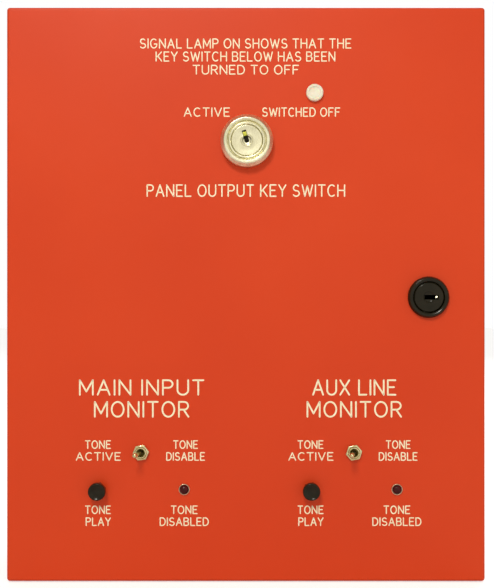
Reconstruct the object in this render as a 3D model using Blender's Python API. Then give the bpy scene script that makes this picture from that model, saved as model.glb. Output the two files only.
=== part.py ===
"""Wall-mounted fire alarm tie and trouble panel: a folded steel cabinet with a hinged, lockable door.

Lengths are in millimetres and become metres when a mesh is stored. The origin is the centre of the
cabinet's back face, which lies on the wall. X runs to the right as a person faces the door, Y runs
into the wall and Z runs up, so the door's outer face looks along -Y.
"""

import math

import bmesh
import bpy
from mathutils import Matrix, Vector

MM = 0.001

# Cabinet and door
WIDTH = 254.0
HEIGHT = 304.8
DEPTH = 101.6
SHEET = 1.5
BEND = 1.6
DOOR_DEPTH = 14.0
DOOR_GAP = 2.0
CLEARANCE = 0.3

HALF_W = WIDTH / 2
HALF_H = HEIGHT / 2
DOOR_FRONT = -DEPTH
DOOR_INNER = DOOR_FRONT + SHEET
DOOR_REAR = DOOR_FRONT + DOOR_DEPTH
BODY_FRONT = DOOR_REAR + DOOR_GAP
LIP_REAR = BODY_FRONT + SHEET
INNER_W = HALF_W - SHEET
INNER_H = HALF_H - SHEET

# Opening in the front of the cabinet, with a collar that the gasket closes on
OPENING_LEFT = -109.0
OPENING_RIGHT = 116.0
OPENING_HALF_H = 141.4
COLLAR_FRONT = -94.5
GASKET_WIDTH = 8.0

# Concealed hinge at the door's left edge
HINGE_X = -HALF_W + 5.0
HINGE_Y = DOOR_FRONT + 5.0
HINGE_PIN_R = 1.6
HINGE_HOLE_R = 1.9
HINGE_EYE_R = 3.2
BRACKET_LOW = 148.0
BRACKET_HIGH = 150.5
BRACKET_REAR = -40.0
BRACKET_RIGHT = -100.0
NECK_LEFT = HINGE_X + 0.6
NECK_RIGHT = HINGE_X + 4.4
NECK_REAR = HINGE_Y + 7.8
NOTCH_BOTTOM = 145.0

# Controls on the door, as (x, z)
LOCK_AT = (96.8, -1.5)
KEY_SWITCH_AT = (0.5, 81.0)
PILOT_AT = (36.5, 106.8)
TOGGLE_AT = (-55.6, -83.8)
BUTTON_AT = (-78.3, -103.7)
LED_AT = (-32.7, -103.4)
CHANNEL_PITCH = 112.8
CHANNELS = (1, 2)

TOGGLE_LEAN = math.radians(11.0)
TOGGLE_PIVOT_HEIGHT = 0.9
KEY_SLOT_LEAN = math.radians(17.0)
CAM_REACH = 25.0

# Equipment inside the cabinet
PLATE_HALF_W = 100.0
PLATE_HALF_H = 120.0
PLATE_REAR = -10.1
PLATE_FRONT = -12.0
STANDOFF_AT = (88.0, 108.0)
DEVICE_REAR = PLATE_FRONT - CLEARANCE
DEVICE_X = 55.0
RELAY_Z = 0.0
BELL_Z = -75.0
GONG_R = 32.0
TERMINALS_Z = 85.0
CONDUIT_AT = (0.0, -42.0)
WALL_SCREW_AT = (85.0, 134.0)

# Harness
HARNESS_R = 3.5
HARNESS_X = -100.0

FRONT = Vector((0.0, -1.0, 0.0))
UP = Vector((0.0, 0.0, 1.0))


def clear_scene():
    for obj in list(bpy.data.objects):
        bpy.data.objects.remove(obj, do_unlink=True)


def material(name, colour, roughness, metallic=0.0):
    """A Principled material, made once for each name."""
    made = bpy.data.materials.get(name)
    if made:
        return made
    made = bpy.data.materials.new(name)
    made.use_nodes = True
    shader = made.node_tree.nodes["Principled BSDF"]
    shader.inputs["Base Color"].default_value = (*colour, 1.0)
    shader.inputs["Roughness"].default_value = roughness
    shader.inputs["Metallic"].default_value = metallic
    return made


def red_enamel():
    return material("red_enamel", (0.68, 0.066, 0.02), 0.4)


def zinc_plate():
    return material("zinc_plate", (0.62, 0.62, 0.58), 0.35, 1.0)


def nickel():
    return material("nickel", (0.72, 0.68, 0.56), 0.25, 1.0)


def black_plastic():
    return material("black_plastic", (0.02, 0.018, 0.015), 0.4)


def grey_steel():
    return material("grey_steel", (0.5, 0.5, 0.5), 0.45, 1.0)


def phenolic():
    return material("phenolic", (0.06, 0.045, 0.035), 0.5)


def clear_cover():
    return material("clear_cover", (0.75, 0.78, 0.78), 0.15)


def copper():
    return material("copper", (0.6, 0.22, 0.08), 0.4, 0.7)


def rubber():
    return material("rubber", (0.025, 0.025, 0.025), 0.8)


def white_lens():
    return material("white_lens", (0.86, 0.84, 0.74), 0.3)


def red_lens():
    return material("red_lens", (0.12, 0.004, 0.006), 0.12)


def cable_jacket():
    return material("cable_jacket", (0.05, 0.05, 0.055), 0.6)


# Placing and storing shapes


def pivot(name, place, parent=None):
    """An empty on a joint's axis, which carries the pieces that turn or slide there."""
    empty = bpy.data.objects.new(name, None)
    bpy.context.collection.objects.link(empty)
    put(empty, place, parent)
    return empty


def put(obj, place, parent):
    """Stands an object at a place given in the cabinet's frame, under its parent."""
    obj["place"] = tuple(place)
    start = Vector(parent["place"]) if parent else Vector()
    obj.location = (Vector(place) - start) * MM
    obj.parent = parent


def solid(name, shape, finish=None, place=(0.0, 0.0, 0.0), parent=None, smooth=False):
    """Stores a shape drawn in the cabinet's frame as an object whose origin is at place."""
    bmesh.ops.recalc_face_normals(shape, faces=shape.faces)
    bmesh.ops.translate(shape, verts=shape.verts, vec=-Vector(place))
    bmesh.ops.scale(shape, verts=shape.verts, vec=(MM, MM, MM))
    mesh = bpy.data.meshes.new(name)
    shape.to_mesh(mesh)
    shape.free()
    if finish:
        mesh.materials.append(finish)
    if smooth:
        mesh.shade_smooth()
        mesh.set_sharp_from_angle(angle=math.radians(35.0))
    obj = bpy.data.objects.new(name, mesh)
    bpy.context.collection.objects.link(obj)
    put(obj, place, parent)
    return obj


def combine(target, shape, operation):
    """Joins a shape to an object, or takes it away, with a Boolean modifier."""
    step = len(target.modifiers) + 1
    tool = solid(f"{target.name}_tool_{step}", shape, place=target["place"])
    tool.hide_render = True
    tool.display_type = "WIRE"
    modifier = target.modifiers.new(f"{operation.lower()}_{step}", "BOOLEAN")
    modifier.operation = operation
    modifier.solver = "EXACT"
    modifier.object = tool


def cut(target, shape):
    combine(target, shape, "DIFFERENCE")


def fuse(target, shape):
    combine(target, shape, "UNION")


# Shapes, drawn in the cabinet's frame


def add_block(shape, low, high):
    low = Vector(low)
    high = Vector(high)
    centre = Matrix.Translation((low + high) / 2)
    size = Matrix.Diagonal((*(high - low), 1.0))
    return bmesh.ops.create_cube(shape, size=1.0, matrix=centre @ size)["verts"]


def block(low, high, bevel=0.0, rounds=2):
    """A box between two corners, with all its edges rounded when bevel is given."""
    shape = bmesh.new()
    add_block(shape, low, high)
    if bevel:
        bmesh.ops.bevel(
            shape,
            geom=shape.edges[:],
            offset=bevel,
            segments=rounds,
            profile=0.5,
            affect="EDGES",
        )
    return shape


def add_turned(shape, profile, base, direction, segments, flats=False):
    """Turns a profile of (radius, height) points round the line from base along direction.

    A profile that starts and ends on the line is solid, and any other closes on itself as a tube.
    With flats, the radii outside the hole are apothems of a hexagon.
    """
    turn = UP.rotation_difference(direction).to_matrix()
    smallest = min(radius for radius, _ in profile)
    rings = []
    for radius, height in profile:
        ring = []
        for step in range(segments if radius else 1):
            angle = math.tau * step / segments
            reach = radius
            if flats and radius > smallest:
                reach = radius / math.cos((angle % (math.pi / 3)) - math.pi / 6)
            spot = Vector((reach * math.cos(angle), reach * math.sin(angle), height))
            ring.append(shape.verts.new(Vector(base) + turn @ spot))
        rings.append(ring)
    pairs = list(zip(rings, rings[1:]))
    if profile[0][0] and profile[-1][0]:
        pairs.append((rings[-1], rings[0]))
    for first, second in pairs:
        for step in range(segments):
            after = (step + 1) % segments
            corners = [
                first[step % len(first)],
                first[after % len(first)],
                second[after % len(second)],
                second[step % len(second)],
            ]
            face = list(dict.fromkeys(corners))
            if len(face) > 2:
                shape.faces.new(face)


def turned(profile, base, direction=FRONT, segments=24, flats=False):
    shape = bmesh.new()
    add_turned(shape, profile, base, direction, segments, flats)
    return shape


def rod(radius, low, high):
    """The profile of a plain cylinder."""
    return [(0.0, low), (radius, low), (radius, high), (0.0, high)]


def add_prism(shape, outline, low, high, along):
    """Extrudes an outline of (u, v) points, along Z from XY points or along Y from XZ points."""
    ends = []
    for level in (low, high):
        ring = []
        for u, v in outline:
            spot = (u, v, level) if along == "Z" else (u, level, v)
            ring.append(shape.verts.new(spot))
        ends.append(ring)
    shape.faces.new(ends[0])
    shape.faces.new(ends[1])
    for step in range(len(outline)):
        after = (step + 1) % len(outline)
        shape.faces.new((ends[0][step], ends[0][after], ends[1][after], ends[1][step]))


def arc(centre, radius, start, end, steps):
    """Points along an arc, from one angle in degrees to another."""
    points = []
    for step in range(steps + 1):
        angle = math.radians(start + (end - start) * step / steps)
        points.append((centre[0] + radius * math.cos(angle), centre[1] + radius * math.sin(angle)))
    return points


def on_door(at, height=0.0):
    """A place at a height in front of the door's outer face."""
    return Vector((at[0], DOOR_FRONT - height, at[1]))


def in_channel(at, channel):
    """A control's place in channel 1, moved to its own channel."""
    return (at[0] + (channel - 1) * CHANNEL_PITCH, at[1])


# The cabinet


def keyhole(at):
    """Outline of a round hole for a screw's head, with a slot above it for its shank."""
    head_r = 5.5
    slot_r = 2.6
    meet = math.degrees(math.acos(slot_r / head_r))
    outline = arc(at, head_r, meet, -180.0 - meet, 14)
    outline += arc((at[0], at[1] + 11.0), slot_r, 180.0, 0.0, 6)
    return outline


def cabinet_shell():
    shell = solid(
        "cabinet_shell",
        block((-HALF_W, BODY_FRONT, -HALF_H), (HALF_W, 0.0, HALF_H), bevel=BEND),
        red_enamel(),
    )
    collar_low = (OPENING_LEFT - SHEET, COLLAR_FRONT, -OPENING_HALF_H - SHEET)
    collar_high = (OPENING_RIGHT + SHEET, BODY_FRONT + SHEET / 2, OPENING_HALF_H + SHEET)
    fuse(shell, block(collar_low, collar_high))
    cut(shell, block((-INNER_W, LIP_REAR, -INNER_H), (INNER_W, -SHEET, INNER_H)))
    opening_low = (OPENING_LEFT, COLLAR_FRONT - 1.0, -OPENING_HALF_H)
    opening_high = (OPENING_RIGHT, LIP_REAR + 1.0, OPENING_HALF_H)
    cut(shell, block(opening_low, opening_high))
    cut(shell, shell_holes())
    return shell


def shell_holes():
    """Hinge notches in the lip, wall screw holes, the conduit hole and shallow knockout rings."""
    holes = bmesh.new()
    for side in (1, -1):
        levels = sorted((side * (BRACKET_LOW - 0.5), side * INNER_H))
        notch_low = (-INNER_W, BODY_FRONT - 1.0, levels[0])
        add_block(holes, notch_low, (NECK_RIGHT + 0.5, LIP_REAR + 1.0, levels[1]))
        add_prism(holes, keyhole((side * WALL_SCREW_AT[0], WALL_SCREW_AT[1] - 6.0)), -3.0, 1.0, "Y")
        low_screw = (side * WALL_SCREW_AT[0], 1.0, -WALL_SCREW_AT[1])
        add_turned(holes, rod(4.0, 0.0, 4.0), low_screw, FRONT, 20)
    conduit = (*CONDUIT_AT, HALF_H - 4.0)
    add_turned(holes, rod(11.5, 0.0, 5.0), conduit, UP, 32)
    ring = [(10.6, -0.4), (11.3, -0.4), (11.3, 1.0), (10.6, 1.0)]
    for x in (-60.0, 60.0):
        add_turned(holes, ring, (x, CONDUIT_AT[1], HALF_H), UP, 24)
    for x in (-60.0, 0.0, 60.0):
        add_turned(holes, ring, (x, CONDUIT_AT[1], -HALF_H), -UP, 24)
    return holes


def hinge_bracket(name, side):
    """A flat arm, welded inside the shell, that reaches forward to the hinge's eye.

    Its neck stands back from the left, where the door's edge swings through.
    """
    eye = (HINGE_X, HINGE_Y)
    edge = -INNER_W + CLEARANCE
    outline = [(edge, BRACKET_REAR), (BRACKET_RIGHT, BRACKET_REAR)]
    outline += [(BRACKET_RIGHT, LIP_REAR + 0.4), (NECK_RIGHT, LIP_REAR + 0.4)]
    outline += [(NECK_RIGHT, HINGE_Y + 2.4)]
    outline += arc(eye, HINGE_EYE_R, 0.0, -279.0, 14)
    outline += [(NECK_LEFT, NECK_REAR), (edge, LIP_REAR)]
    shape = bmesh.new()
    add_prism(shape, outline, side * BRACKET_LOW, side * BRACKET_HIGH, "Z")
    bracket = solid(name, shape, zinc_plate())
    hole = turned(rod(HINGE_HOLE_R, -3.0, 3.0), (*eye, side * (BRACKET_LOW + 1.25)), UP, 20)
    cut(bracket, hole)


def hinge_pin(name, side):
    head_top = BRACKET_LOW - CLEARANCE
    profile = [(0.0, head_top - 2.0), (2.2, head_top - 2.0), (2.6, head_top - 1.6), (2.6, head_top)]
    profile += [(HINGE_PIN_R, head_top), (HINGE_PIN_R, HALF_H - 0.4), (1.2, HALF_H - 0.1)]
    profile += [(0.0, HALF_H - 0.1)]
    place = (HINGE_X, HINGE_Y, 0.0)
    solid(name, turned(profile, place, side * UP, 20), grey_steel(), place, smooth=True)


def hinges():
    for end, side in (("top", 1), ("bottom", -1)):
        hinge_bracket(f"hinge_bracket_{end}", side)
        hinge_pin(f"hinge_pin_{end}", side)


def mounting_plate():
    low = (-PLATE_HALF_W, PLATE_FRONT, -PLATE_HALF_H)
    high = (PLATE_HALF_W, PLATE_REAR, PLATE_HALF_H)
    solid("mounting_plate", block(low, high, bevel=0.4, rounds=1), zinc_plate())
    number = 0
    for x in (-STANDOFF_AT[0], STANDOFF_AT[0]):
        for z in (-STANDOFF_AT[1], STANDOFF_AT[1]):
            number += 1
            base = (x, -SHEET - CLEARANCE, z)
            length = -PLATE_REAR - SHEET - 2 * CLEARANCE
            shape = turned(rod(4.0, 0.0, length), base, FRONT, 20)
            solid(f"plate_standoff_{number}", shape, zinc_plate(), base, smooth=True)


def conduit_bushing():
    """A bushing that lines the conduit hole, with its flange inside the top wall."""
    flange = INNER_H - CLEARANCE
    profile = [(9.0, flange - 2.0), (12.9, flange - 2.0), (13.5, flange - 1.4), (13.5, flange)]
    profile += [(11.2, flange), (11.2, HALF_H - 0.1), (9.6, HALF_H - 0.1), (9.0, HALF_H - 0.8)]
    place = (*CONDUIT_AT, 0.0)
    solid("conduit_bushing", turned(profile, place, UP, 32), black_plastic(), place, smooth=True)


def terminal_block():
    """A moulded barrier strip: a base with a rib between each pair of terminals."""
    half_w = 75.0
    half_h = 11.0
    base_front = DEVICE_REAR - 9.0
    low = (-half_w, base_front, TERMINALS_Z - half_h)
    high = (half_w, DEVICE_REAR, TERMINALS_Z + half_h)
    shape = bmesh.new()
    add_block(shape, low, high)
    strip = solid("terminal_block", shape, phenolic())
    ribs = bmesh.new()
    pitch = 2 * (half_w - 1.0) / 12
    for count in range(13):
        x = -half_w + 1.0 + count * pitch
        rib_low = (x - 0.9, DEVICE_REAR - 16.0, TERMINALS_Z - half_h + 0.6)
        rib_high = (x + 0.9, base_front + 1.0, TERMINALS_Z + half_h - 0.6)
        add_block(ribs, rib_low, rib_high)
    fuse(strip, ribs)


def relay(channel, x):
    base_front = DEVICE_REAR - 18.0
    low = (x - 15.0, base_front, RELAY_Z - 22.5)
    high = (x + 15.0, DEVICE_REAR, RELAY_Z + 22.5)
    solid(f"relay_base_{channel}", block(low, high, bevel=0.8, rounds=1), phenolic())
    cover_low = (x - 10.5, base_front - CLEARANCE - 36.0, RELAY_Z - 13.5)
    cover_high = (x + 10.5, base_front - CLEARANCE, RELAY_Z + 13.5)
    solid(f"relay_cover_{channel}", block(cover_low, cover_high, bevel=1.5), clear_cover())


def bell(channel, x):
    """A small trouble bell: the coil pulls the striker, whose hammer meets the gong's rim."""
    centre = Vector((x, DEVICE_REAR, BELL_Z))
    base_front = DEVICE_REAR - 2.2
    low = (x - 22.0, base_front, BELL_Z - 26.0)
    high = (x + 22.0, DEVICE_REAR, BELL_Z + 26.0)
    base = solid(f"bell_base_{channel}", block(low, high, bevel=0.5, rounds=1), zinc_plate())
    post_height = 27.7
    posts = bmesh.new()
    add_turned(posts, rod(3.5, 1.0, post_height), centre, FRONT, 20)
    coil_centre = centre + Vector((0.0, 0.0, 14.0))
    striker_axis = centre + Vector((-14.0, 0.0, 14.0))
    add_turned(posts, rod(2.2, 1.0, 18.0), striker_axis, FRONT, 16)
    fuse(base, posts)

    bobbin = [(0.0, 2.5), (8.0, 2.5), (8.0, 4.0), (6.8, 4.0), (6.8, 16.0), (8.0, 16.0), (8.0, 17.4)]
    bobbin += [(3.0, 17.4), (3.0, 17.8), (0.0, 17.8)]
    coil = turned(bobbin, coil_centre, FRONT, 20)
    solid(f"bell_coil_{channel}", coil, copper(), coil_centre, smooth=True)

    outer = [(GONG_R, 15.0), (GONG_R - 0.1, 20.0), (GONG_R - 1.5, 24.0), (GONG_R - 6.0, 27.4)]
    outer += [(GONG_R - 16.0, 29.4), (2.0, 29.6)]
    inner = [(2.0, 28.1), (GONG_R - 16.4, 27.9), (GONG_R - 6.8, 26.0), (GONG_R - 2.8, 23.2)]
    inner += [(GONG_R - 1.5, 19.8), (GONG_R - 1.4, 15.0)]
    gong = turned(outer + inner, centre, FRONT, 32)
    solid(f"bell_gong_{channel}", gong, nickel(), centre, smooth=True)

    carrier = pivot(f"striker_pivot_{channel}", striker_axis)
    arm_low = striker_axis + Vector((-2.6, -20.0, -1.6))
    arm_high = striker_axis + Vector((33.5, -18.3, 1.6))
    arm = block(arm_low, arm_high)
    striker = solid(f"bell_striker_{channel}", arm, grey_steel(), striker_axis, carrier)
    hammer = striker_axis + Vector((34.0, 0.0, 0.0))
    fuse(striker, turned([(0.0, 16.6), (2.8, 17.4), (2.8, 21.0), (0.0, 21.8)], hammer, FRONT, 16))


def harness(name, points, parent=None):
    """A round bundle of wires along a smooth route."""
    curve = bpy.data.curves.new(name, "CURVE")
    curve.dimensions = "3D"
    curve.bevel_depth = HARNESS_R * MM
    curve.bevel_resolution = 2
    curve.use_fill_caps = True
    route = curve.splines.new("POLY")
    smooth = smooth_route([Vector(point) for point in points], 3)
    route.points.add(len(smooth) - 1)
    for stored, point in zip(route.points, smooth):
        stored.co = (*((point - smooth[0]) * MM), 1.0)
    obj = bpy.data.objects.new(name, curve)
    curve.materials.append(cable_jacket())
    bpy.context.collection.objects.link(obj)
    put(obj, smooth[0], parent)


def smooth_route(points, steps):
    """Catmull-Rom points through the route's own points."""
    ends = [2 * points[0] - points[1]] + points + [2 * points[-1] - points[-2]]
    smooth = []
    for before, start, end, after in zip(ends, ends[1:], ends[2:], ends[3:]):
        for step in range(steps):
            t = step / steps
            middle = 2 * start + (end - before) * t
            bend = (2 * before - 5 * start + 4 * end - after) * t**2
            rest = (3 * start - before - 3 * end + after) * t**3
            smooth.append((middle + bend + rest) / 2)
    smooth.append(points[-1])
    return smooth


def harness_runs(door):
    cabinet_run = [(-75.4, -20.3, 85.0), (-86.0, -20.5, 84.0), (-95.0, -22.0, 74.0)]
    cabinet_run += [(HARNESS_X, -24.0, 52.0), (HARNESS_X, -25.0, 16.0), (HARNESS_X, -26.0, -20.0)]
    cabinet_run += [(HARNESS_X, -28.0, -50.0), (HARNESS_X, -34.0, -66.0), (HARNESS_X, -43.0, -71.0)]
    cabinet_run += [(HARNESS_X, -50.0, -66.0), (HARNESS_X, -52.0, -56.0)]
    harness("harness_cabinet", cabinet_run)
    loop = [(HARNESS_X, -52.0, -55.6), (HARNESS_X, -53.0, -40.0), (HARNESS_X, -59.0, -18.0)]
    loop += [(HARNESS_X, -70.0, 8.0), (HARNESS_X, -81.0, 32.0), (HARNESS_X, -87.0, 50.0)]
    loop += [(HARNESS_X, -88.0, 62.0)]
    harness("harness_loop", loop)
    door_run = [(HARNESS_X, -88.0, 62.4), (-99.5, -89.0, 76.0), (-93.0, -90.5, 90.0)]
    door_run += [(-78.0, -90.5, 97.0), (-58.0, -88.0, 96.0), (-38.0, -82.0, 90.0)]
    door_run += [(-24.0, -74.0, 83.0), (-13.4, -72.0, 81.0)]
    harness("harness_door", door_run, door)


# The door


def door_panel(door):
    place = tuple(Vector(door["place"]))
    past = 2 * BEND
    low = (-HALF_W, DOOR_FRONT, -HALF_H)
    high = (HALF_W, DOOR_REAR + past, HALF_H)
    panel = solid("door_panel", block(low, high, bevel=BEND), red_enamel(), place, door)
    far = (HALF_W + 1.0, DOOR_REAR + past + 1.0, HALF_H + 1.0)
    cut(panel, block((-HALF_W - 1.0, DOOR_REAR, -HALF_H - 1.0), far))
    cut(panel, block((-INNER_W, DOOR_INNER, -INNER_H), (INNER_W, DOOR_REAR + 1.0, INNER_H)))
    cut(panel, door_holes())


def door_holes():
    """Holes for the controls and hinge pins, and the notches that clear the hinge arms."""
    holes = bmesh.new()
    depth = rod(1.0, -3.0, 2.0)
    for at, radius in control_holes():
        profile = [(reach * radius, height) for reach, height in depth]
        add_turned(holes, profile, on_door(at), FRONT, 32 if radius > 5.0 else 20)
    for side in (1, -1):
        pin = (HINGE_X, HINGE_Y, side * (INNER_H - 0.5))
        add_turned(holes, rod(HINGE_HOLE_R, 0.0, 4.0), pin, side * UP, 20)
        levels = sorted((side * NOTCH_BOTTOM, side * INNER_H))
        add_block(
            holes,
            (-HALF_W - 1.0, DOOR_INNER + 0.6, levels[0]),
            (-INNER_W + 0.4, DOOR_REAR + 1.0, levels[1]),
        )
    return holes


def control_holes():
    """Each control's place on the door, and its hole's radius."""
    holes = [(LOCK_AT, 9.9), (KEY_SWITCH_AT, 9.9), (PILOT_AT, 3.6)]
    for channel in CHANNELS:
        holes.append((in_channel(TOGGLE_AT, channel), 3.4))
        holes.append((in_channel(BUTTON_AT, channel), 3.5))
        holes.append((in_channel(LED_AT, channel), 2.95))
    return holes


def door_gasket(door):
    """A closed foam strip round the door's inner face, which closes on the collar's edge."""
    half = GASKET_WIDTH / 2
    middle = SHEET / 2
    left = OPENING_LEFT - middle
    right = OPENING_RIGHT + middle
    top = OPENING_HALF_H + middle
    front = DOOR_INNER + CLEARANCE
    rear = COLLAR_FRONT - CLEARANCE
    shape = block((left - half, front, -top - half), (right + half, rear, top + half), 0.8, 1)
    gasket = solid("door_gasket", shape, rubber(), tuple(Vector(door["place"])), door)
    cut(gasket, block((left + half, front - 1.0, -top + half), (right - half, rear + 1.0, top - half)))


def hex_nut(name, at, across_flats, hole_r, low, high, finish, parent):
    """A hexagon nut round an axis on the door, with chamfered corners on its outer face."""
    flat = across_flats / 2
    profile = [(hole_r, low), (flat, low), (flat, high - 0.25), (flat - 0.3, high), (hole_r, high)]
    place = on_door(at)
    solid(name, turned(profile, place, FRONT, 24, flats=True), finish, place, parent)


def cam_lock(door):
    place = on_door(LOCK_AT)
    housing = [(8.3, 2.8), (9.4, 3.3), (10.2, 3.1), (11.0, 1.4), (11.0, CLEARANCE), (9.5, CLEARANCE)]
    housing += [(9.5, -15.4), (8.3, -15.4)]
    solid("lock_housing", turned(housing, place, FRONT, 32), black_plastic(), place, door, smooth=True)
    hex_nut("lock_nut", LOCK_AT, 22.0, 9.9, -5.4, -SHEET - CLEARANCE, zinc_plate(), door)

    key_axis = pivot("lock_axis", place, door)
    plug = [(0.0, 2.6), (7.7, 2.6), (8.0, 2.3), (8.0, -15.7), (6.0, -16.0), (6.0, -17.8), (0.0, -17.8)]
    shape = turned(plug, place, FRONT, 32)
    barrel = solid("lock_plug", shape, black_plastic(), place, key_axis, smooth=True)
    slot_low = on_door((LOCK_AT[0] - 2.4, LOCK_AT[1] - 1.2), 3.2)
    slot_high = on_door((LOCK_AT[0] + 5.0, LOCK_AT[1] + 1.2), -2.0)
    cut(barrel, block(slot_low, slot_high))

    cam_front = -18.1
    cam_rear = -20.1
    outline = arc((0.0, 0.0), 7.0, 0.0, 180.0, 10)
    outline += arc((0.0, -CAM_REACH + 5.0), 5.0, 180.0, 360.0, 8)
    outline = [(LOCK_AT[0] + u, LOCK_AT[1] + v) for u, v in outline]
    shape = bmesh.new()
    add_prism(shape, outline, DOOR_FRONT - cam_front, DOOR_FRONT - cam_rear, "Y")
    cam = solid("lock_cam", shape, zinc_plate(), place, key_axis)
    cut(cam, turned(rod(2.1, cam_rear - 1.0, cam_front + 1.0), place, FRONT, 16))
    screw = [(0.0, cam_front), (1.8, cam_front), (1.8, cam_rear - 0.3), (4.2, cam_rear - 0.3)]
    screw += [(4.2, cam_rear - 1.8), (3.4, cam_rear - 2.3), (0.0, cam_rear - 2.3)]
    solid("lock_cam_screw", turned(screw, place, FRONT, 20), zinc_plate(), place, key_axis, smooth=True)


def key_switch(door):
    place = on_door(KEY_SWITCH_AT)
    barrel_rear = -17.6
    housing = [(8.5, 6.4), (9.5, 6.4), (9.7, 5.6), (10.2, 5.6), (10.5, 6.9), (12.4, 6.9)]
    housing += [(12.8, 6.5), (13.9, 1.2), (13.9, CLEARANCE), (9.5, CLEARANCE), (9.5, barrel_rear)]
    housing += [(8.5, barrel_rear)]
    shape = turned(housing, place, FRONT, 32)
    solid("key_switch_housing", shape, nickel(), place, door, smooth=True)
    hex_nut("key_switch_nut", KEY_SWITCH_AT, 24.0, 9.9, -5.4, -SHEET - CLEARANCE, zinc_plate(), door)

    block_front = DOOR_FRONT - barrel_rear + CLEARANCE
    low = (KEY_SWITCH_AT[0] - 12.5, block_front, KEY_SWITCH_AT[1] - 12.0)
    high = (KEY_SWITCH_AT[0] + 12.5, block_front + 24.0, KEY_SWITCH_AT[1] + 12.0)
    body = block(low, high, bevel=1.0, rounds=1)
    solid("key_switch_contact_block", body, phenolic(), place, door)

    key_axis = pivot("key_switch_axis", place, door)
    plug = [(0.0, 6.2), (7.8, 6.2), (8.2, 5.8), (8.2, barrel_rear + 0.3), (0.0, barrel_rear + 0.3)]
    shape = turned(plug, place, FRONT, 32)
    core = solid("key_switch_plug", shape, nickel(), place, key_axis, smooth=True)
    slots = bmesh.new()
    add_block(slots, on_door((-1.1, -1.6), 8.0), on_door((1.1, 5.6), 1.5))
    turn = Matrix.Rotation(-KEY_SLOT_LEAN, 4, "Y")
    shift = Matrix.Translation((KEY_SWITCH_AT[0], 0.0, KEY_SWITCH_AT[1]))
    bmesh.ops.transform(slots, matrix=shift @ turn, verts=slots.verts)
    cut(core, slots)


def pilot_light(door):
    place = on_door(PILOT_AT)
    lens = [(0.0, 2.0), (3.1, 2.0), (3.4, 2.5), (4.1, 2.5), (4.55, 2.0), (4.55, CLEARANCE)]
    lens += [(0.0, CLEARANCE)]
    solid("pilot_lens", turned(lens, place, FRONT, 24), white_lens(), place, door, smooth=True)
    body = [(0.0, 0.0), (3.3, 0.0), (3.3, -11.0), (2.4, -11.0), (2.4, -15.0), (0.0, -15.0)]
    solid("pilot_body", turned(body, place, FRONT, 20), black_plastic(), place, door, smooth=True)
    hex_nut("pilot_nut", PILOT_AT, 9.5, 3.6, -4.3, -SHEET - CLEARANCE, zinc_plate(), door)


def toggle_switch(channel, door):
    at = in_channel(TOGGLE_AT, channel)
    place = on_door(at)
    bushing = [(0.0, -1.3), (2.3, -1.3), (2.3, 2.6), (2.8, 2.6), (3.05, 2.3), (3.05, -2.0), (0.0, -2.0)]
    shape = turned(bushing, place, FRONT, 20)
    solid(f"toggle_bushing_{channel}", shape, nickel(), place, door, smooth=True)
    hex_nut(f"toggle_nut_{channel}", at, 7.6, 3.35, CLEARANCE, 2.3, nickel(), door)
    body_low = on_door((at[0] - 6.5, at[1] - 4.2), -2.3)
    body_high = on_door((at[0] + 6.5, at[1] + 4.2), -15.0)
    body = block(body_low, body_high, bevel=0.6, rounds=1)
    solid(f"toggle_body_{channel}", body, phenolic(), place, door)

    axis_place = on_door(at, TOGGLE_PIVOT_HEIGHT)
    carrier = pivot(f"toggle_pivot_{channel}", axis_place, door)
    lean = Vector((-math.sin(TOGGLE_LEAN), -math.cos(TOGGLE_LEAN), 0.0))
    bat = [(0.0, -1.3), (0.9, -1.0), (1.25, 0.0), (0.95, 1.0), (0.9, 4.0), (1.25, 10.2), (1.25, 11.4)]
    bat += [(0.9, 12.2), (0.0, 12.5)]
    shape = turned(bat, axis_place, lean, 16)
    solid(f"toggle_lever_{channel}", shape, nickel(), axis_place, carrier, smooth=True)


def push_button(channel, door):
    at = in_channel(BUTTON_AT, channel)
    place = on_door(at)
    body = [(0.0, -2.9), (1.95, -2.9), (1.95, 2.0), (2.9, 2.0), (3.2, 1.7), (3.2, -1.8), (5.5, -1.8)]
    body += [(5.5, -12.5), (4.0, -13.0), (0.0, -13.0)]
    shape = turned(body, place, FRONT, 20)
    solid(f"button_body_{channel}", shape, black_plastic(), place, door, smooth=True)
    hex_nut(f"button_nut_{channel}", at, 8.4, 3.5, CLEARANCE, 1.8, black_plastic(), door)
    slide = pivot(f"button_slide_{channel}", place, door)
    cap = [(0.0, 6.2), (2.4, 6.5), (3.9, 7.0), (4.4, 6.8), (4.6, 6.2), (4.6, 3.9), (1.6, 3.9)]
    cap += [(1.6, -0.3), (0.0, -0.3)]
    shape = turned(cap, place, FRONT, 24)
    solid(f"button_cap_{channel}", shape, black_plastic(), place, slide, smooth=True)


def indicator(channel, door):
    at = in_channel(LED_AT, channel)
    place = on_door(at)
    holder = [(2.6, 1.2), (2.8, 1.2), (3.0, 0.95), (3.0, CLEARANCE), (2.7, CLEARANCE), (2.7, -6.0)]
    holder += [(2.4, -6.0), (2.4, 0.45), (2.6, 0.45)]
    shape = turned(holder, place, FRONT, 20)
    solid(f"led_holder_{channel}", shape, nickel(), place, door, smooth=True)
    lens = [(0.0, 2.5), (1.2, 2.2), (2.1, 1.5), (2.35, 0.95), (2.35, 0.75), (2.1, 0.75), (2.1, -8.0)]
    lens += [(0.0, -8.0)]
    solid(f"led_lens_{channel}", turned(lens, place, FRONT, 20), red_lens(), place, door, smooth=True)


def build_cabinet():
    cabinet_shell()
    hinges()
    mounting_plate()
    conduit_bushing()
    terminal_block()
    for channel, x in zip(CHANNELS, (-DEVICE_X, DEVICE_X)):
        relay(channel, x)
        bell(channel, x)


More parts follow.
